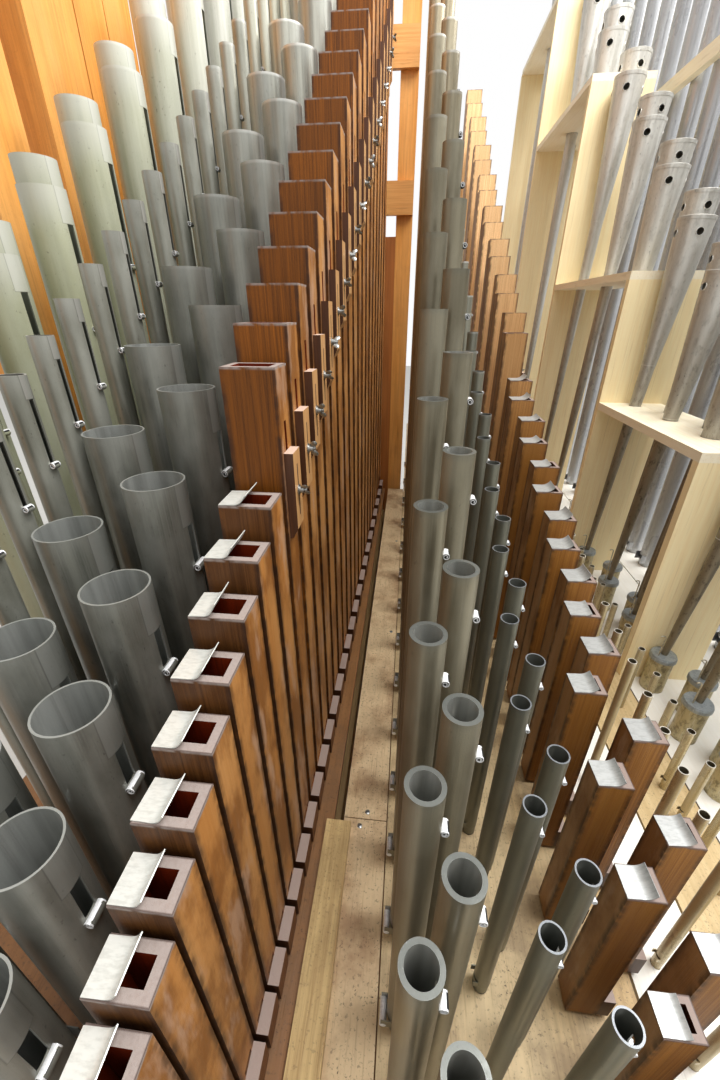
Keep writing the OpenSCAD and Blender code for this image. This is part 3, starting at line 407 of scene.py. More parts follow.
def wood_pipe_finish(name, front, rings, side, side_pale, side_dark, smudge, rim, rim_dark, inside,
                     brow=None, far=None, far_rings=None, far_from=0.2, far_to=1.7,
                     short=None, short_to=0.0):
    """A wooden pipe: front and side boards of different tone, bare end grain and worn corners.

    Pipes nearer than short_to have the short colour, a darker front that is painted shade, and those past
    far_to the far one, which is painted light.
    """
    blend = 0.04
    material, w, shader = new_material(name, 0.5)
    shader["Specular IOR Level"].default_value = 0.25
    place = w.group(GROUPS["pipe_place"])
    local = place["Local"]
    grain = w.group(GROUPS["timber_grain"], {
        "Place": local, "Stretch": PIPE_GRAIN, "Seed": w.maths("MULTIPLY", place["Seed"], 5.0)})
    along = w.parts(w.object_place())[1]
    lit = w.step(along, far_from, far_to)

    # The far colour is painted light on the far pipes, and the short colour painted shade on the fronts of
    # the near short pipes
    bare = w.mix(lit, front, far or front)
    if short:
        bare = w.mix(w.step(along, short_to - blend, short_to + blend), short, bare)
    tone = w.maths("MULTIPLY_ADD", place["Seed"], WOOD_SPREAD, 1.0 - WOOD_SPREAD / 2)
    front_board = w.scaled(bare, tone)
    front_board = w.tint(front_board, grain["Rings"], 0.85, w.mix(lit, rings, far_rings or rings))
    front_board = w.tint(front_board, grain["Pores"], 0.5, colour(rings, 0.6))

    shift = w.vector("MULTIPLY", w.attribute("axis"), (31, 17, 5))
    patches = w.spots(local, 0.42, 0.6, stretch=(14, 14, 7), shift=shift, detail=5.0, roughness=0.62)
    smudges = w.spots(local, 0.52, 0.66, stretch=(30, 30, 9), shift=shift, detail=4.0, roughness=0.6)
    side_board = w.mix(grain["Fading"], side, side_pale)
    side_board = w.tint(side_board, patches, 0.75, side_dark)
    side_board = w.tint(side_board, smudges, 0.55, smudge)
    side_board = w.tint(side_board, grain["Rings"], 0.35, front)

    sideways = w.maths("GREATER_THAN", w.maths("ABSOLUTE", w.parts(w.normal())[0]), 0.5)
    outside = w.mix(sideways, front_board, side_board)
    ragged = w.noise(local, scale=60.0, detail=3.0)
    corner = w.maths("MULTIPLY", w.fall(place["Corner"], 0.0008, 0.008), w.step(ragged, 0.25, 0.6))
    outside = w.tint(outside, corner, 0.75, "#2a1a14")
    top_edge = w.fall(place["From top"], 0.001, 0.0035)
    outside = w.tint(outside, top_edge, w.step(ragged, 0.3, 0.55), brow or rim)

    hollow = w.tint(inside, grain["Rings"], 0.5, colour(rings, 0.5))
    walls = w.mix(place["Inside"], outside, hollow)
    speckle = w.spots(local, 0.4, 0.7, scale=300.0)
    end_grain = w.tint(rim, speckle, 0.3, rim_dark)
    end_grain = w.tint(end_grain, w.fall(place["Edge"], 0.0004, 0.0016), 0.75, "#3b2821")
    w.link(w.mix(place["Rim"], walls, end_grain), shader["Base Color"])
    set_bump(w, shader, w.maths("ADD", grain["Rings"], grain["Pores"]), distance=0.0005, strength=0.4)
    return material


def timber(name, pale, dark, stretch, rings=0.55, fading=0.3, fade=None, knots=None, dirt=None,
           stain="#6e5238"):
    """Sawn and planed timber on a CAD node. Knots is the stretch that spaces them."""
    material, w, shader = new_material(name, 0.55)
    place = w.object_place()
    grain = w.group(GROUPS["timber_grain"], {"Place": place, "Stretch": stretch})
    body = w.tint(pale, grain["Rings"], rings, dark)
    body = w.tint(body, grain["Fading"], fading, fade or pale)
    body = w.tint(body, grain["Pores"], 0.25, colour(dark, 0.6))
    if knots:
        spots = w.node("TexVoronoi", {"Vector": w.vector("MULTIPLY", place, knots), "Scale": 1.0})
        body = w.tint(body, w.fall(spots.outputs["Distance"], 0.02, 0.16), 0.7, "#6b3512")
    if dirt:
        marks = w.group(GROUPS["dirt"], {"Place": place})
        body = w.tint(body, marks["Stain"], dirt, stain)
        body = w.tint(body, marks["Crumbs"], min(1.0, dirt * 1.7), "#4a3420")
    w.link(body, shader["Base Color"])
    set_bump(w, shader, w.maths("ADD", grain["Rings"], grain["Pores"]), distance=0.0006, strength=0.35)
    return material


def board_with_white_strip(name):
    """The board under the reeds: speckled pine, then a white strip under the boots behind a dark joint."""
    material, w, shader = new_material(name, 0.6)
    place = w.object_place()
    grain = w.group(GROUPS["timber_grain"], {"Place": place, "Stretch": ALONG_Y})
    dirt = w.group(GROUPS["dirt"], {"Place": place})
    pine = w.tint("#d6bd8e", grain["Rings"], 0.45, "#b0915c")
    pine = w.tint(pine, dirt["Crumbs"], 0.7, "#4a3a26")
    white = w.tint("#f2efe6", grain["Rings"], 0.3, "#e4dcca")
    across = w.parts(place)[0]
    past = w.maths("GREATER_THAN", across, STRIP_START)
    from_joint = w.maths("ABSOLUTE", w.maths("SUBTRACT", across, STRIP_START))
    joint = w.maths("LESS_THAN", from_joint, JOINT_HALF_WIDTH)
    w.link(w.mix(joint, w.mix(past, pine, white), "#3a2a1a"), shader["Base Color"])
    set_bump(w, shader, grain["Rings"], distance=0.0005, strength=0.3)
    return material


def reed_metal(name):
    """Resonators: silver with dark specks at the head, brown and mottled towards the block."""
    material, w, shader = new_material(name, 0.42, 0.45)
    place = w.group(GROUPS["pipe_place"])
    marks = w.group(GROUPS["metal_marks"], {"Place": place["Local"], "Seed": place["Seed"]})
    height = w.parts(w.object_place())[2]
    upper = w.step(height, BOARD_TOP + 0.25, BOARD_TOP + 0.95)
    body = w.mix(upper, "#83775f", "#d6d5ce")
    body = w.tint(body, marks["Streak"], 0.5, "#8b8577")
    blots = w.spots(place["Local"], 0.52, 0.66, stretch=(1, 1, 0.5), scale=85.0, detail=5.0, roughness=0.75)
    body = w.tint(body, blots, w.value_mix(upper, 0.75, 0.22), "#43392b")
    body = w.tint(body, marks["Speck"], 0.8, "#1d1a17")
    w.link(w.mix(place["Rim"], body, "#b9b7ae"), shader["Base Color"])
    set_bump(w, shader, w.maths("ADD", marks["Cloud"], marks["Speck"]), distance=0.0006, strength=0.4)
    return material


def mottled_metal(name, pale, dark, roughness=0.45, metallic=0.35, scale=110.0, mottle=0.7, speck=0.5):
    """Small metal parts with a coarse mottle, on CAD nodes."""
    material, w, shader = new_material(name, roughness, metallic)
    place = w.object_place()
    marks = w.group(GROUPS["metal_marks"], {"Place": place})
    coarse = w.noise(place, stretch=(1, 1, 0.6), scale=scale, detail=4.0, roughness=0.7)
    body = w.tint(pale, w.step(coarse, 0.45, 0.66), mottle, dark)
    body = w.tint(body, marks["Scratch"], 0.3, "#dcdcd6")
    body = w.tint(body, marks["Speck"], speck, "#241f1a")
    w.link(body, shader["Base Color"])
    set_bump(w, shader, coarse, distance=0.0006, strength=0.35)
    return material


def bright_metal(name, pale, dark, metallic, roughness):
    """Bright bent sheet, rolls and small fittings, with faint rubs."""
    material, w, shader = new_material(name, roughness, metallic)
    rub = w.noise(w.object_place(), stretch=(1, 3, 1), scale=120.0, detail=3.0, roughness=0.6)
    w.link(w.tint(pale, w.step(rub, 0.4, 0.7), 0.5, dark), shader["Base Color"])
    set_bump(w, shader, rub, distance=0.0003, strength=0.3)
    return material


def two_way_wood(name, plain, right, top, right_rings=None):
    """Small wooden blocks: one tone on the faces that look right, one on top and one on the rest."""
    material, w, shader = new_material(name, 0.5)
    grain = w.group(GROUPS["timber_grain"], {"Place": w.object_place(), "Stretch": BLOCK_GRAIN})
    across, _, upward = w.parts(w.normal())
    rest = w.tint(plain, grain["Rings"], 0.6, colour(plain, 0.45))
    pale = w.tint(right, grain["Rings"], 0.5, right_rings or plain)
    turned = w.mix(w.maths("GREATER_THAN", across, 0.5), rest, pale)
    w.link(w.mix(w.maths("GREATER_THAN", upward, 0.5), turned, top), shader["Base Color"])
    set_bump(w, shader, grain["Rings"], distance=0.0004, strength=0.3)
    return material


def plain_dark(name, tone):
    """A flat near-black that fills small hollows in place of their shade: painted shade."""
    material, _, shader = new_material(name, 0.8)
    shader["Base Color"].default_value = colour(tone)
    return material


def islands(mesh):
    """For each vertex the number of the separate pipe that it belongs to, and all the points."""
    points = np.empty(len(mesh.vertices) * 3)
    mesh.vertices.foreach_get("co", points)
    points = points.reshape(-1, 3)
    _, same = np.unique(np.round(points, 5), axis=0, return_inverse=True)
    same = same.reshape(-1)
    edges = np.empty(len(mesh.edges) * 2, dtype=np.int64)
    mesh.edges.foreach_get("vertices", edges)
    edges = same[edges.reshape(-1, 2)]
    label = np.arange(same.max() + 1)
    while True:
        before = label.copy()
        low = np.minimum(label[edges[:, 0]], label[edges[:, 1]])
        np.minimum.at(label, edges[:, 0], low)
        np.minimum.at(label, edges[:, 1], low)
        label = label[label]
        if (label == before).all():
            break
    _, numbers = np.unique(label[same], return_inverse=True)
    return numbers.reshape(-1), points


def measure_pipes(mesh, band):
    """The pipes of a rank from the treble end, and for each point its pipe's axis and half widths.

    The top ring is what lies within the band below a pipe's highest point.
    """
    foot_band = 0.003
    numbers, points = islands(mesh)
    axis = np.empty_like(points)
    reach = np.zeros_like(points)
    pipes = []
    for number in range(numbers.max() + 1):
        own = numbers == number
        body = points[own]
        top = body[:, 2].max()
        ring = body[body[:, 2] > top - band]
        low, high = ring.min(axis=0), ring.max(axis=0)
        centre = (low + high) / 2
        half = (high - low) / 2
        base = body[body[:, 2] < body[:, 2].min() + foot_band]
        foot = (base.min(axis=0) + base.max(axis=0)) / 2
        axis[own] = (centre[0], centre[1], top)
        reach[own] = (half[0], half[1], 0)
        pipes.append({"x": centre[0], "y": centre[1], "top": top, "rx": half[0], "ry": half[1],
                      "foot": foot})
    return sorted(pipes, key=lambda pipe: pipe["y"]), axis, reach


def dress_rank(node, material, band=0.0005, mesh=None):
    """A rank whose points know their own pipe: a copy of the CAD node, or another mesh in its place."""
    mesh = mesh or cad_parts[node].data.copy()
    pipes, axis, reach = measure_pipes(mesh, band)
    for name, values in (("axis", axis), ("reach", reach)):
        mesh.attributes.new(name, "FLOAT_VECTOR", "POINT").data.foreach_set("vector", values.reshape(-1))
    mesh.materials.clear()
    mesh.materials.append(material)
    piece = bpy.data.objects.new("dressed_" + node, mesh)
    bpy.context.scene.collection.objects.link(piece)
    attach(piece, "root")
    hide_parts(node)
    return pipes


def finish_node(node, material):
    """Gives a CAD node that keeps its shape its finish."""
    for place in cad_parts[node].material_slots:
        place.material = material


class Shape:
    """Gathers points and faces for one joined mesh."""

    def __init__(self):
        self.points = []
        self.faces = []
        self.finishes = []

    def add(self, points, faces, place=None, finish=0):
        place = place or Matrix()
        start = len(self.points)
        self.points += [place @ Vector(p) for p in points]
        self.faces += [[start + i for i in face] for face in faces]
        self.finishes += [finish] * len(faces)

    def make(self, name, materials):
        mesh = bpy.data.meshes.new(name)
        mesh.from_pydata(self.points, [], self.faces)
        for material in materials:
            mesh.materials.append(material)
        mesh.polygons.foreach_set("material_index", self.finishes)
        mesh.polygons.foreach_set("use_smooth", [True] * len(self.faces))
        mesh.update()
        piece = bpy.data.objects.new(name, mesh)
        bpy.context.scene.collection.objects.link(piece)
        mesh.set_sharp_from_angle(angle=math.radians(40))
        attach(piece, "root")
        return piece


def lathe(profile, sides):
    """A turned form from radius and height pairs. Its last two faces are the flat ends."""
    points = []
    faces = []
    for radius, height in profile:
        for i in range(sides):
            turn = 2 * math.pi * i / sides
            points.append((radius * math.cos(turn), radius * math.sin(turn), height))
    for row in range(len(profile) - 1):
        for i in range(sides):
            j = (i + 1) % sides
            a, b = row * sides, (row + 1) * sides
            faces.append([a + i, a + j, b + j, b + i])
    faces.append(list(range(sides))[::-1])
    last = (len(profile) - 1) * sides
    faces.append([last + i for i in range(sides)])
    return points, faces


def block(low, high):
    """A plain block between two corners."""
    xs, ys, zs = zip(low, high)
    points = [(x, y, z) for x in xs for y in ys for z in zs]
    faces = [[0, 1, 3, 2], [4, 6, 7, 5], [0, 4, 5, 1], [2, 3, 7, 6], [0, 2, 6, 4], [1, 5, 7, 3]]
    return points, faces


def swept_sheet(line, thickness, width, cuts=1):
    """A sheet that follows a line in X and Z and runs along Y, centred on it."""
    count = len(line)
    points = []
    upper = []
    for i, (x, z) in enumerate(line):
        x0, z0 = line[max(i - 1, 0)]
        x1, z1 = line[min(i + 1, count - 1)]
        length = math.hypot(x1 - x0, z1 - z0)
        across = (-(z1 - z0) / length, (x1 - x0) / length)
        upper.append((x + across[0] * thickness, z + across[1] * thickness))
    loop = list(line) + upper[::-1]
    around = len(loop)
    for k in range(cuts + 1):
        y = width * (k / cuts - 0.5)
        points += [(x, y, z) for x, z in loop]
    faces = []
    for k in range(cuts):
        for i in range(around):
            j = (i + 1) % around
            a, b = k * around, (k + 1) * around
            faces.append([a + i, a + j, b + j, b + i])
    for i in range(count - 1):
        back = around - 1 - i
        faces.append([i, back, back - 1, i + 1])
        end = cuts * around
        faces.append([end + i, end + i + 1, end + back - 1, end + back])
    return points, faces


def scroll_line(radius):
    """The spiral of a rolled tongue, from its outer turn to its heart."""
    steps = 26
    turns = 1.7
    start = math.pi * 1.1
    shrink = 0.66
    line = []
    for i in range(steps + 1):
        share = i / steps
        turn = start - share * turns * 2 * math.pi
        r = radius * (1 - shrink * share)
        line.append((r * math.cos(turn), r * math.sin(turn)))
    return line


def add_scrolls(rank, pipes):
    """A rolled tongue of metal at the foot of every tuning slot in a rank."""
    cut = SLOTS[rank]
    radius = cut["roll"] / 2 + ROLL_SKIN
    heart = radius * ROLL_HEART
    shape = Shape()
    for pipe in pipes:
        diameter = 2 * pipe["ry"]
        width = diameter * ROLL_WIDTH + ROLL_OVERHANG
        x = pipe["x"] + pipe["rx"] + cut["roll"] * ROLL_SET_OUT
        z = pipe["top"] - diameter * (cut["drop"] + cut["length"]) - cut["roll"] * ROLL_DROP
        place = Matrix.Translation((x, pipe["y"], z))
        shape.add(*swept_sheet(scroll_line(radius), -ROLL_SHEET, width), place)
        # A dark core inside the spiral, set in from its ends: painted shade in the roll's heart
        core = [(heart, -width / 2 + ROLL_HOLLOW), (heart, width / 2 - ROLL_HOLLOW)]
        shape.add(*lathe(core, sides=14), place @ ALONG_THE_CHEST, 1)
    shape.make(rank.replace("pipes", "scrolls"), [FINISHES["roll"], FINISHES["hollow"]])


def add_mouth_rollers(pipes):
    """Bright rollers between the ears of the mouths that face the passage."""
    radius = BEARD_THICKNESS / 2 + ROLLER_SKIN
    end = radius * 0.7
    shape = Shape()
    for pipe in pipes:
        x = pipe["x"] - pipe["ry"] * BEARD_REACH - BEARD_THICKNESS * BEARD_SET_OUT
        half = pipe["ry"] * BEARD_HALF_WIDTH + ROLLER_OVERHANG
        shoulder = half - ROLLER_BEVEL
        profile = [(end, -half), (radius, -shoulder), (radius, shoulder), (end, half)]
        place = Matrix.Translation((x, pipe["y"], BOARD_TOP + MOUTH_HEIGHT))
        shape.add(*lathe(profile, sides=14), place @ ALONG_THE_CHEST)
    shape.make("mouth_rollers", [FINISHES["roll"]])


def flap_line(width, cover, bend, lip, curl):
    """A flap from the left face of a pipe to its raised end, in X and Z."""
    flat_steps = 4
    bend_steps = 6
    lip_steps = 2
    x0 = -width / 2
    x1 = width * (cover - 0.5)
    radius = width * curl
    line = []
    for i in range(flat_steps + 1):
        belly = FLAP_BELLY * math.sin(math.pi / 2 * i / flat_steps)
        line.append((x0 + (x1 - x0) * i / flat_steps, belly))
    start = line[-1]
    full = math.radians(bend)
    for i in range(1, bend_steps + 1):
        turn = full * i / bend_steps
        line.append((start[0] + radius * math.sin(turn), start[1] + radius * (1 - math.cos(turn))))
    end = line[-1]
    for i in range(1, lip_steps + 1):
        reach = lip * i / lip_steps
        line.append((end[0] + reach * math.cos(full), end[1] + reach * math.sin(full)))
    return line


def add_flaps(side, pipes, material):
    """Bent sheet flaps on the short wooden pipes, each bent by hand and so a little different."""
    name = side + "_bent_flaps"
    cut = FLAPS[side]
    draw = random.Random(name)
    shape = Shape()
    for pipe in pipes:
        width = 2 * pipe["rx"]
        bend = draw.uniform(*cut["bends"])
        cover = cut["cover"] + draw.uniform(-0.05, 0.05)
        lip = width * cut["lip"] * draw.uniform(0.8, 1.1)
        line = flap_line(width, cover, bend, lip, cut["curl"])
        skew = Matrix.Rotation(math.radians(draw.uniform(-2.5, 2.5)), 4, "Z")
        place = Matrix.Translation((pipe["x"], pipe["y"], pipe["top"] + FLAP_LIFT)) @ skew
        shape.add(*swept_sheet(line, FLAP_THICKNESS, 2 * pipe["ry"] - FLAP_MARGIN, cuts=2), place)
    piece = shape.make(name, [material])
    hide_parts(side + "_flap_sheets")


def wing_nut():
    """A washer and tapered hub, and two raised wings, with the axis along Z."""
    hub = [(0.0068, 0.0), (0.0068, 0.0012), (0.0045, 0.0012), (0.0042, 0.0072),
           (0.0022, 0.0078), (0.0022, 0.0105)]
    wing = [(0.0003, -1.0), (0.6, -0.8), (0.95, -0.3), (1.0, 0.2), (0.7, 0.75), (0.0003, 1.0)]
    wing_half_size = Matrix.Diagonal((0.0042, 0.0013, 0.0062, 1.0))
    wing_out = 0.0072
    wing_up = 0.0082
    wing_lean = math.radians(48)
    parts = [(*lathe(hub, sides=14), Matrix())]
    for side in (-1, 1):
        place = Matrix.Translation((side * wing_out, 0, wing_up))
        lean = Matrix.Rotation(side * wing_lean, 4, "Y")
        parts.append((*lathe(wing, sides=10), place @ lean @ wing_half_size))
    return parts


def add_slide_fittings(name, pipes):
    """Wing nuts that clamp the tuning slides, and the slit each one runs in, drawn as a dark strip: painted
    shade.
    """
    shape = Shape()
    nut = wing_nut()
    draw = random.Random(name)
    for pipe in pipes:
        depth = 2 * pipe["ry"]
        face = pipe["x"] + pipe["rx"] + SLIDE_THICKNESS
        z = pipe["top"] - depth * (SLIDE_DROP + SLIDE_LENGTH * NUT_PLACE)
        place = Matrix.Translation((face, pipe["y"], z))
        turn = Matrix.Rotation(draw.uniform(-1.2, 1.2), 4, "Z")
        for points, faces, part in nut:
            shape.add(points, faces, place @ OUTWARDS @ turn @ part)
        # The slit: a dark strip laid on the slide's face, painted shade
        half_length = depth * SLIDE_LENGTH * SLIT_HALF_LENGTH
        low = (-SLIT_SUNK, -SLIT_HALF_WIDTH, -half_length)
        high = (SLIT_PROUD, SLIT_HALF_WIDTH, half_length)
        shape.add(*block(low, high), place, 1)
    shape.make(name, [FINISHES["nut"], FINISHES["hollow"]])


def stand_resonator(pipe):
    """The place and lean of a resonator, as a matrix from its foot upwards, and its length."""
    foot = Vector(pipe["foot"])
    crown = Vector((pipe["x"], pipe["y"], pipe["top"]))
    lean = math.atan2(crown.x - foot.x, crown.z - foot.z)
    crown.z -= pipe["ry"] * math.sin(lean)
    return Matrix.Translation(foot) @ Matrix.Rotation(lean, 4, "Y"), (crown - foot).length


def flare_radius(head, drop):
    """The radius of a resonator at a depth below its cap, in radii of the head."""
    return head * (FLARE_START + (1 - FLARE_START) * (1 - drop / (FLARE_LENGTH * 2)))


def hole_turns(pipe):
    """The turns about a resonator's axis at which its tone holes lie."""
    return [Matrix.Rotation(pipe["turn"] + 2 * math.pi * i / TONE_HOLES, 4, "Z") for i in range(TONE_HOLES)]


def turn_resonators(pipes):
    """The resonators turned anew, each hollow under its cap, with tone holes a quarter turn apart."""
    draw = random.Random(12)
    bodies = Shape()
    cutters = Shape()
    for pipe in pipes:
        place, length = stand_resonator(pipe)
        head = pipe["ry"] - REED_SEAM
        rim_z = length - head * 2 * RIM_SHARE
        hole_z = length - head * 2 * HOLE_DEPTH
        neck_z = length - head * 2 * FLARE_LENGTH
        hole = head * HOLE_SHARE
        near_ring = hole * 1.4
        far_ring = hole * 6
        outer = [(REED_FOOT, 0.0), (head * FLARE_START, neck_z)]
        for z in (hole_z - far_ring, hole_z - near_ring, hole_z + near_ring, rim_z):
            outer.append((flare_radius(head, (length - z) / head), z))
        outer.append((outer[-1][0] + REED_SEAM, rim_z + 0.0001))
        outer += [(head + REED_SEAM, length - REED_SEAM), (head, length)]
        bodies.add(*lathe(outer, sides=64), place)
        inner = [(REED_FOOT - REED_WALL, FOOT_FLOOR), (head * FLARE_START - REED_WALL, neck_z),
                 (head - HEAD_WALL, length - CAP_THICKNESS)]
        points, faces = lathe(inner, sides=64)
        bodies.add(points, [face[::-1] for face in faces], place)
        pipe["turn"] = math.radians(draw.uniform(-117, -75))
        for turn in hole_turns(pipe):
            drill = lathe([(hole, head * 0.55), (hole, head * 1.4)], sides=24)
            cutters.add(*drill, place @ Matrix.Translation((0, 0, hole_z)) @ turn @ OUTWARDS)
    return cut_away(bodies, cutters)


def cut_away(bodies, cutters):
    """The mesh that is left when one set of solids is cut from another."""
    held = []
    for shape in (bodies, cutters):
        mesh = bpy.data.meshes.new("turning")
        mesh.from_pydata(shape.points, [], shape.faces)
        held.append(bpy.data.objects.new("turning", mesh))
        bpy.context.scene.collection.objects.link(held[-1])
    cut = held[0].modifiers.new("holes", "BOOLEAN")
    cut.operation = "DIFFERENCE"
    cut.solver = "EXACT"
    cut.object = held[1]
    bpy.context.view_layer.update()
    mesh = bpy.data.meshes.new_from_object(held[0].evaluated_get(bpy.context.evaluated_depsgraph_get()))
    for piece in held:
        bpy.data.objects.remove(piece)
    mesh.polygons.foreach_set("use_smooth", [True] * len(mesh.polygons))
    mesh.set_sharp_from_angle(angle=math.radians(30))
    return mesh


def add_reed_seams(pipes, material):
    """A seam where each resonator's flare starts, and a collar round each tone hole."""
    shape = Shape()
    for pipe in pipes:
        place, length = stand_resonator(pipe)
        head = pipe["ry"] - REED_SEAM
        drop = FLARE_LENGTH * 2 * SEAM_PLACE
        neck = flare_radius(head, drop)
        bead = 0.0007 + head * 0.009
        seam = [(neck - bead * 0.3, -bead), (neck + bead * 0.6, -bead * 0.5),
                (neck + bead * 0.6, bead * 0.5), (neck - bead * 0.3, bead)]
        points, faces = lathe(seam, sides=40)
        shape.add(points, faces[:-2], place @ Matrix.Translation((0, 0, length - head * drop)))
        hole = head * HOLE_SHARE
        collar = [(hole * 1.24, -COLLAR_ROOT), (hole * 1.16, COLLAR_RISE),
                  (hole + COLLAR_PLAY, COLLAR_RISE), (hole + COLLAR_PLAY, -COLLAR_ROOT)]
        points, faces = lathe(collar, sides=24)
        level = place @ Matrix.Translation((0, 0, length - head * HOLE_DEPTH * 2))
        out = Matrix.Translation((flare_radius(head, HOLE_DEPTH * 2), 0, 0)) @ OUTWARDS
        for turn in hole_turns(pipe):
            shape.add(points, faces[:-2], level @ turn @ out)
    shape.make("resonator_seams", [material])


def add_board_screws():
    """Countersunk screws, flush in the boards, with a slot drawn as a dark bar on the head: painted shade.
    """
    passage_low, passage_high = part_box("passage_boards")
    middle_low, middle_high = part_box("middle_rackboard")
    near_end = passage_low.y
    joint = near_end + 0.512
    places = [
        (passage_low.x + 0.030, joint - 0.012), (passage_low.x + 0.042, joint + 0.014),
        (passage_high.x - 0.014, near_end + 1.05), (passage_high.x - 0.016, near_end + 1.62),
        (middle_high.x - 0.012, near_end + 0.62), (middle_high.x - 0.014, near_end + 1.1),
        (middle_low.x + 0.16, near_end + 0.6),
    ]
    head = lathe([(0.0046, -0.001), (0.0046, 0.0002), (0.0036, 0.0007)], sides=16)
    # The slot: a dark bar on the head, painted shade
    slot = block((-0.0034, -0.0005, 0.0003), (0.0034, 0.0005, 0.0009))
    shape = Shape()
    draw = random.Random(4)
    for x, y in places:
        place = Matrix.Translation((x, y, BOARD_TOP)) @ Matrix.Rotation(draw.uniform(0, 3), 4, "Z")
        shape.add(*head, place)
        shape.add(*slot, place, 1)
    shape.make("board_screws", [FINISHES["nut"], FINISHES["hollow"]])


def put_camera():
    """The photograph's viewpoint and lens."""
    data = bpy.data.cameras.new("photo_camera")
    data.sensor_width = SENSOR
    data.sensor_fit = "AUTO"
    data.lens = SENSOR * FOCAL_PIXELS / PHOTO_HEIGHT
    data.clip_start = 0.01
    camera = bpy.data.objects.new("photo_camera", data)
    camera.location = (CAMERA_X, CAMERA_Y, BOARD_TOP + LENS_ABOVE_BOARD)
    camera.rotation_euler = (math.radians(90 - TILT_DOWN), 0, math.radians(TURN_LEFT))
    bpy.context.scene.collection.objects.link(camera)
    bpy.context.scene.camera = camera


def put_floor():
    """A plain pale floor."""
    bpy.ops.mesh.primitive_plane_add(size=FLOOR_SIZE, location=(0, 0, 0))
    floor = bpy.context.object
    floor.name = "floor"
    material, w, shader = new_material("pale_floor", 0.8)
    cloud = w.noise(w.object_place(), scale=1.5, detail=3.0)
    w.link(w.mix(cloud, "#dcdad4", "#e6e4de"), shader["Base Color"])
    floor.data.materials.append(material)


def put_area_light(name, energy, size, place, aim):
    """A square soft lamp that looks at the aim."""
    data = bpy.data.lights.new(name, "AREA")
    data.energy = energy
    data.shape = "SQUARE"
    data.size = size
    lamp = bpy.data.objects.new(name, data)
    lamp.location = place
    lamp.rotation_euler = (Vector(aim) - Vector(place)).to_track_quat("-Z", "Y").to_euler()
    bpy.context.scene.collection.objects.link(lamp)


def put_world():
    """Even soft light, and plain white where the camera or a reflection sees past the organ."""
    world = bpy.data.worlds.new("studio")
    world.use_nodes = True
    w = Wiring(world.node_tree)
    seen = w.node("LightPath").outputs
    direct = w.maths("MAXIMUM", seen["Is Camera Ray"], seen["Is Glossy Ray"])
    direct = w.maths("MAXIMUM", direct, seen["Is Transmission Ray"])
    background = world.node_tree.nodes["Background"]
    background.inputs["Color"].default_value = (1.0, 1.0, 1.0, 1)
    w.link(w.value_mix(direct, WORLD_LIGHT, 1.0), background.inputs["Strength"])
    bpy.context.scene.world = world


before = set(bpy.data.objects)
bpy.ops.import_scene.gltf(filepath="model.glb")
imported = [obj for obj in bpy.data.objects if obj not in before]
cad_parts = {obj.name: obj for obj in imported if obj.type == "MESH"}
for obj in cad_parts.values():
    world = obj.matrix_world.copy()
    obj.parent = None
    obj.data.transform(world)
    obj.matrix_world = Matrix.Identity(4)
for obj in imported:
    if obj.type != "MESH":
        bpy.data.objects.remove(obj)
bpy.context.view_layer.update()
BOARD_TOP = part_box("metal_rackboard")[1].z
put_camera()

GROUPS = {
    "pipe_place": build_pipe_place(),
    "metal_marks": build_metal_marks(),
    "timber_grain": build_timber_grain(),
    "dirt": build_dirt(),
}

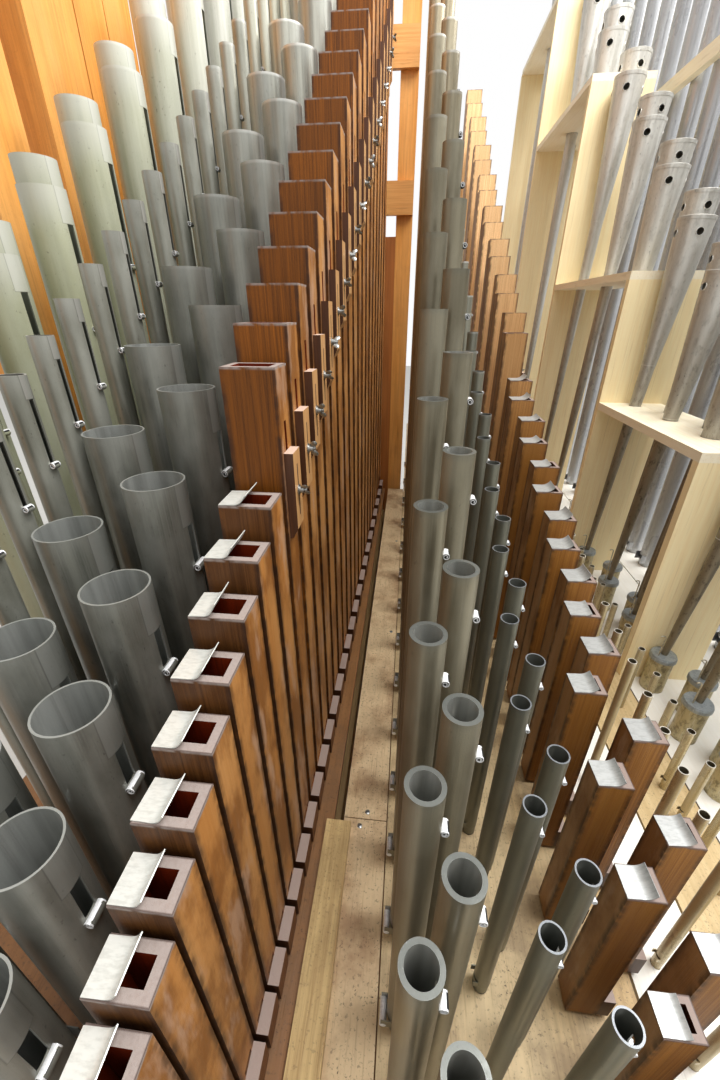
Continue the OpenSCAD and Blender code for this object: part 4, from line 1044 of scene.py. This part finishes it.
FINISHES = {
    "painted": pipe_metal(
        "worn_cream_paint", skin="#a0a183", dark="#7d7f66", rim="#c6c6bb", inside="#868a80",
        bloom_and_sheen="#bcbeab", far="#dddcd4", far_from=-1.1, far_to=0.1, metallic=0.12, roughness=0.5,
        streak=0.45, speck=0.55, worn_top=0.07, top_wear=0.6, strip=SLOTS["painted_pipes"]["drop"]),
    "string": pipe_metal(
        "string_metal", skin="#86867a", dark="#626256", rim="#b4b4ad", inside="#75756f",
        bloom_and_sheen="#b1b2a9", far="#cdcab2", far_from=-0.9, far_to=0.2, metallic=0.4,
        cloud=0.5, speck=0.5, worn_top=0.03, strip=SLOTS["string_pipes"]["drop"]),
    "flute": pipe_metal(
        "flute_metal", skin="#74756b", dark="#4c4d46", rim="#989a94", inside="#b4b6b1",
        bloom_and_sheen="#a9a9a1", far="#c0c0b2", far_from=-1.3, far_to=0.2,
        cloud=0.5, speck=0.5, worn_top=0.03, strip=SLOTS["flute_pipes"]["drop"]),
    "thick": pipe_metal(
        "thick_metal", skin="#7f7863", dark="#4d4736", rim="#5f615c", inside="#b8b9b3",
        bloom_and_sheen="#a39f8c", far="#cfc0a0", far_from=-1.0, far_to=0.3),
    "slender": pipe_metal(
        "slender_metal", skin="#787768", dark="#4e4e42", rim="#6d7073", inside="#7a7c76",
        bloom_and_sheen="#969686", far="#b5b5a6", streak=0.6, cloud=0.35),
    "small": pipe_metal(
        "small_pipe_metal", skin="#b5a680", dark="#8a7955", rim="#d6d2c6", inside="#6a6454",
        bloom_and_sheen="#cbbf9e", metallic=0.4, roughness=0.32, streak=0.6),
    "tall": pipe_metal(
        "tall_pipe_metal", skin="#b4b5b6", dark="#74767a", rim="#c3c4c5", inside="#7d7f82",
        bloom_and_sheen="#b9babd", metallic=0.4, roughness=0.3, streak=0.5, cloud=0.2),
    # The far colours of the wooden ranks are painted light, and the oak's short colour painted shade
    "oak": wood_pipe_finish(
        "dark_oak", front="#985814", rings="#341a05", side="#b87a3c", side_pale="#c8955c",
        side_dark="#6b3d17", smudge="#c4a48c", rim="#988b84", rim_dark="#84736a", inside="#7c2606",
        far="#87602f", short="#6d4521", short_to=-1.385),
    "varnish": wood_pipe_finish(
        "red_varnish", front="#a97434", rings="#82501c", side="#a87846", side_pale="#b8916a",
        side_dark="#7d4e28", smudge="#bda186", rim="#948279", rim_dark="#8d7a70", inside="#4a2010",
        brow="#7a6050", far="#f4cd9a", far_rings="#cf9c66", far_from=-0.9, far_to=0.2),
    "reed": reed_metal("spotted_resonator"),
    "boot": mottled_metal("khaki_boot", "#c0b48d", "#665a3f", scale=90.0),
    "block": mottled_metal("grey_lead", "#9fa6a8", "#7a8082", metallic=0.5, scale=160.0, mottle=0.5,
                           speck=0.3),
    "wire": mottled_metal("tuning_wire", "#bdb49e", "#7a7260", roughness=0.3, metallic=0.8),
    "flap": bright_metal("flap_sheet", "#cfd0c9", "#adaea6", metallic=0.3, roughness=0.35),
    "white_flap": bright_metal("bright_flap_sheet", "#b5b6b3", "#90918e", metallic=0.4, roughness=0.38),
    "roll": bright_metal("bright_roll", "#f4f5f5", "#cfd2d3", metallic=0.15, roughness=0.35),
    "seam": bright_metal("solder_seam", "#d0cec6", "#a9a79f", metallic=0.3, roughness=0.4),
    "nut": bright_metal("wing_nut_metal", "#a3a5a3", "#5f615f", metallic=0.85, roughness=0.3),
    # Painted shade for the hearts of the rolls, the slides' slits and the screws' slots
    "hollow": plain_dark("painted_shade_hollow", "#141312"),
    "cap": two_way_wood("mouth_cap_wood", plain="#4e2a12", right="#7c4f2c", top="#9f8a7f"),
    "slide": two_way_wood("slide_wood", plain="#573013", right="#c99a64", top="#c2a896",
                          right_rings="#ad7543"),
    "frame": timber("orange_frame_timber", "#eaa24a", "#c17a2b", UPRIGHT, fading=0.4, fade="#f3c07a",
                    knots=(5, 5, 1.6), dirt=0.1),
    "frame_long": timber("long_frame_timber", "#d8964c", "#b0702c", ALONG_Y),
    "frame_cross": timber("cross_frame_timber", "#e0a45c", "#b87830", ALONG_X, knots=(1.6, 5, 5)),
    "panel": timber("panel_timber", "#b3692a", "#8a4c18", UPRIGHT, fading=0.4, fade="#c98444",
                    knots=(4, 4, 1.3)),
    "chest": timber("chest_pine", "#d2ad76", "#ab824c", ALONG_Y),
    "ledger": timber("ledger_board", "#9a6f40", "#6e4a26", ALONG_Y, dirt=0.4),
    "batten": timber("batten_board", "#d9bb80", "#a17c49", ALONG_Y, rings=0.8, dirt=0.35, stain="#8f7246"),
    "old_board": timber("speckled_board", "#8f6236", "#6a4523", ALONG_Y, rings=0.4, dirt=0.55),
    "passage": timber("passage_board", "#d2a66c", "#a27040", ALONG_Y, rings=0.35, fading=0.6,
                      fade="#eddbb4", dirt=0.65, stain="#966a44"),
    "middle_board": timber("middle_board", "#cfb07c", "#957548", ALONG_Y, fading=0.5, fade="#e8d3a8",
                           dirt=0.5),
    "white_board": timber("white_board", "#f4f1e8", "#e6dfcd", ALONG_Y, rings=0.2),
    "reed_board": board_with_white_strip("reed_board"),
    # The rack pine is paler than bare pine: partly the wood's colour and partly painted light from the
    # window's glare
    "pine_upright": timber("rack_pine_upright", "#ffeec0", "#f3d294", UPRIGHT, rings=0.4),
    "pine_flat": timber("rack_pine_flat", "#fef4da", "#f0dcae", ALONG_Y, rings=0.35),
}

# Each rank of pipes with its finish and its material slot
RANKS = {
    "painted_pipes": ("painted", "painted_metal"),
    "string_pipes": ("string", "pipe_metal"),
    "flute_pipes": ("flute", "pipe_metal"),
    "thick_pipes": ("thick", "pipe_metal"),
    "slender_pipes": ("slender", "pipe_metal"),
    "small_pipes": ("small", "tan_metal"),
    "tiny_pipes": ("small", "tan_metal"),
    "tall_pipes": ("tall", "pipe_metal"),
    "left_wood_pipes": ("oak", "dark_oak"),
    "right_wood_pipes": ("varnish", "red_varnish"),
}
ranks = {}
for node, (finish, slot) in RANKS.items():
    ranks[node] = dress_rank(node, FINISHES[finish])

reeds, _, _ = measure_pipes(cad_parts["reed_resonators"].data, REED_BAND)
dress_rank("reed_resonators", FINISHES["reed"], REED_BAND, turn_resonators(reeds))
for rank in SLOTS:
    add_scrolls(rank, ranks[rank])
add_mouth_rollers(ranks["thick_pipes"])
left_wood = ranks["left_wood_pipes"]
right_wood = ranks["right_wood_pipes"]
add_flaps("left", left_wood[:LEFT_FLAPS], FINISHES["flap"])
add_flaps("right", right_wood[:RIGHT_FLAPS], FINISHES["white_flap"])
add_slide_fittings("left_wing_nuts", left_wood[LEFT_FLAPS:])
add_slide_fittings("right_wing_nuts", right_wood[RIGHT_FLAPS:])
add_reed_seams(reeds, FINISHES["seam"])
add_board_screws()

# Finishes of the nodes that keep their CAD shape
NODE_FINISHES = {
    "cap": ("left_mouth_caps", "right_mouth_caps"),
    "slide": ("left_tuning_slides", "right_tuning_slides"),
    "boot": ("reed_boots",),
    "block": ("reed_blocks",),
    "wire": ("tuning_wires",),
    "frame": ("base_posts", "side_posts", "back_post"),
    "frame_long": ("long_rails", "side_top_rail"),
    "frame_cross": ("cross_ties", "frame_rails"),
    "panel": ("back_panel",),
    "chest": ("left_windchest", "right_windchest", "sliders", "left_upperboards", "right_upperboards",
              "rack_pillars"),
    "old_board": ("metal_rackboard", "wood_rackboard"),
    "ledger": ("passage_ledger",),
    "passage": ("passage_boards",),
    "batten": ("loose_batten",),
    "middle_board": ("middle_rackboard",),
    "white_board": ("pale_rackboard",),
    "reed_board": ("reed_rackboard", "tall_rackboard"),
    "pine_upright": ("rack_uprights",),
    "pine_flat": ("rack_shelves", "tall_pipe_rail"),
}
for finish, nodes in NODE_FINISHES.items():
    for node in nodes:
        finish_node(node, FINISHES[finish])

put_floor()
put_world()
put_area_light("right_lamp", energy=150, size=2.4, place=(3.1, 0.4, 4.7), aim=(0.2, 0.2, 1.0))
put_area_light("window_lamp", energy=270, size=2.0, place=(1.3, -1.2, 5.4), aim=(-0.2, 1.5, 2.3))
put_area_light("front_lamp", energy=18, size=1.6, place=(0.2, -3.6, 4.0), aim=(0.1, -1.0, 1.0))
bpy.context.scene.view_settings.view_transform = "Standard"
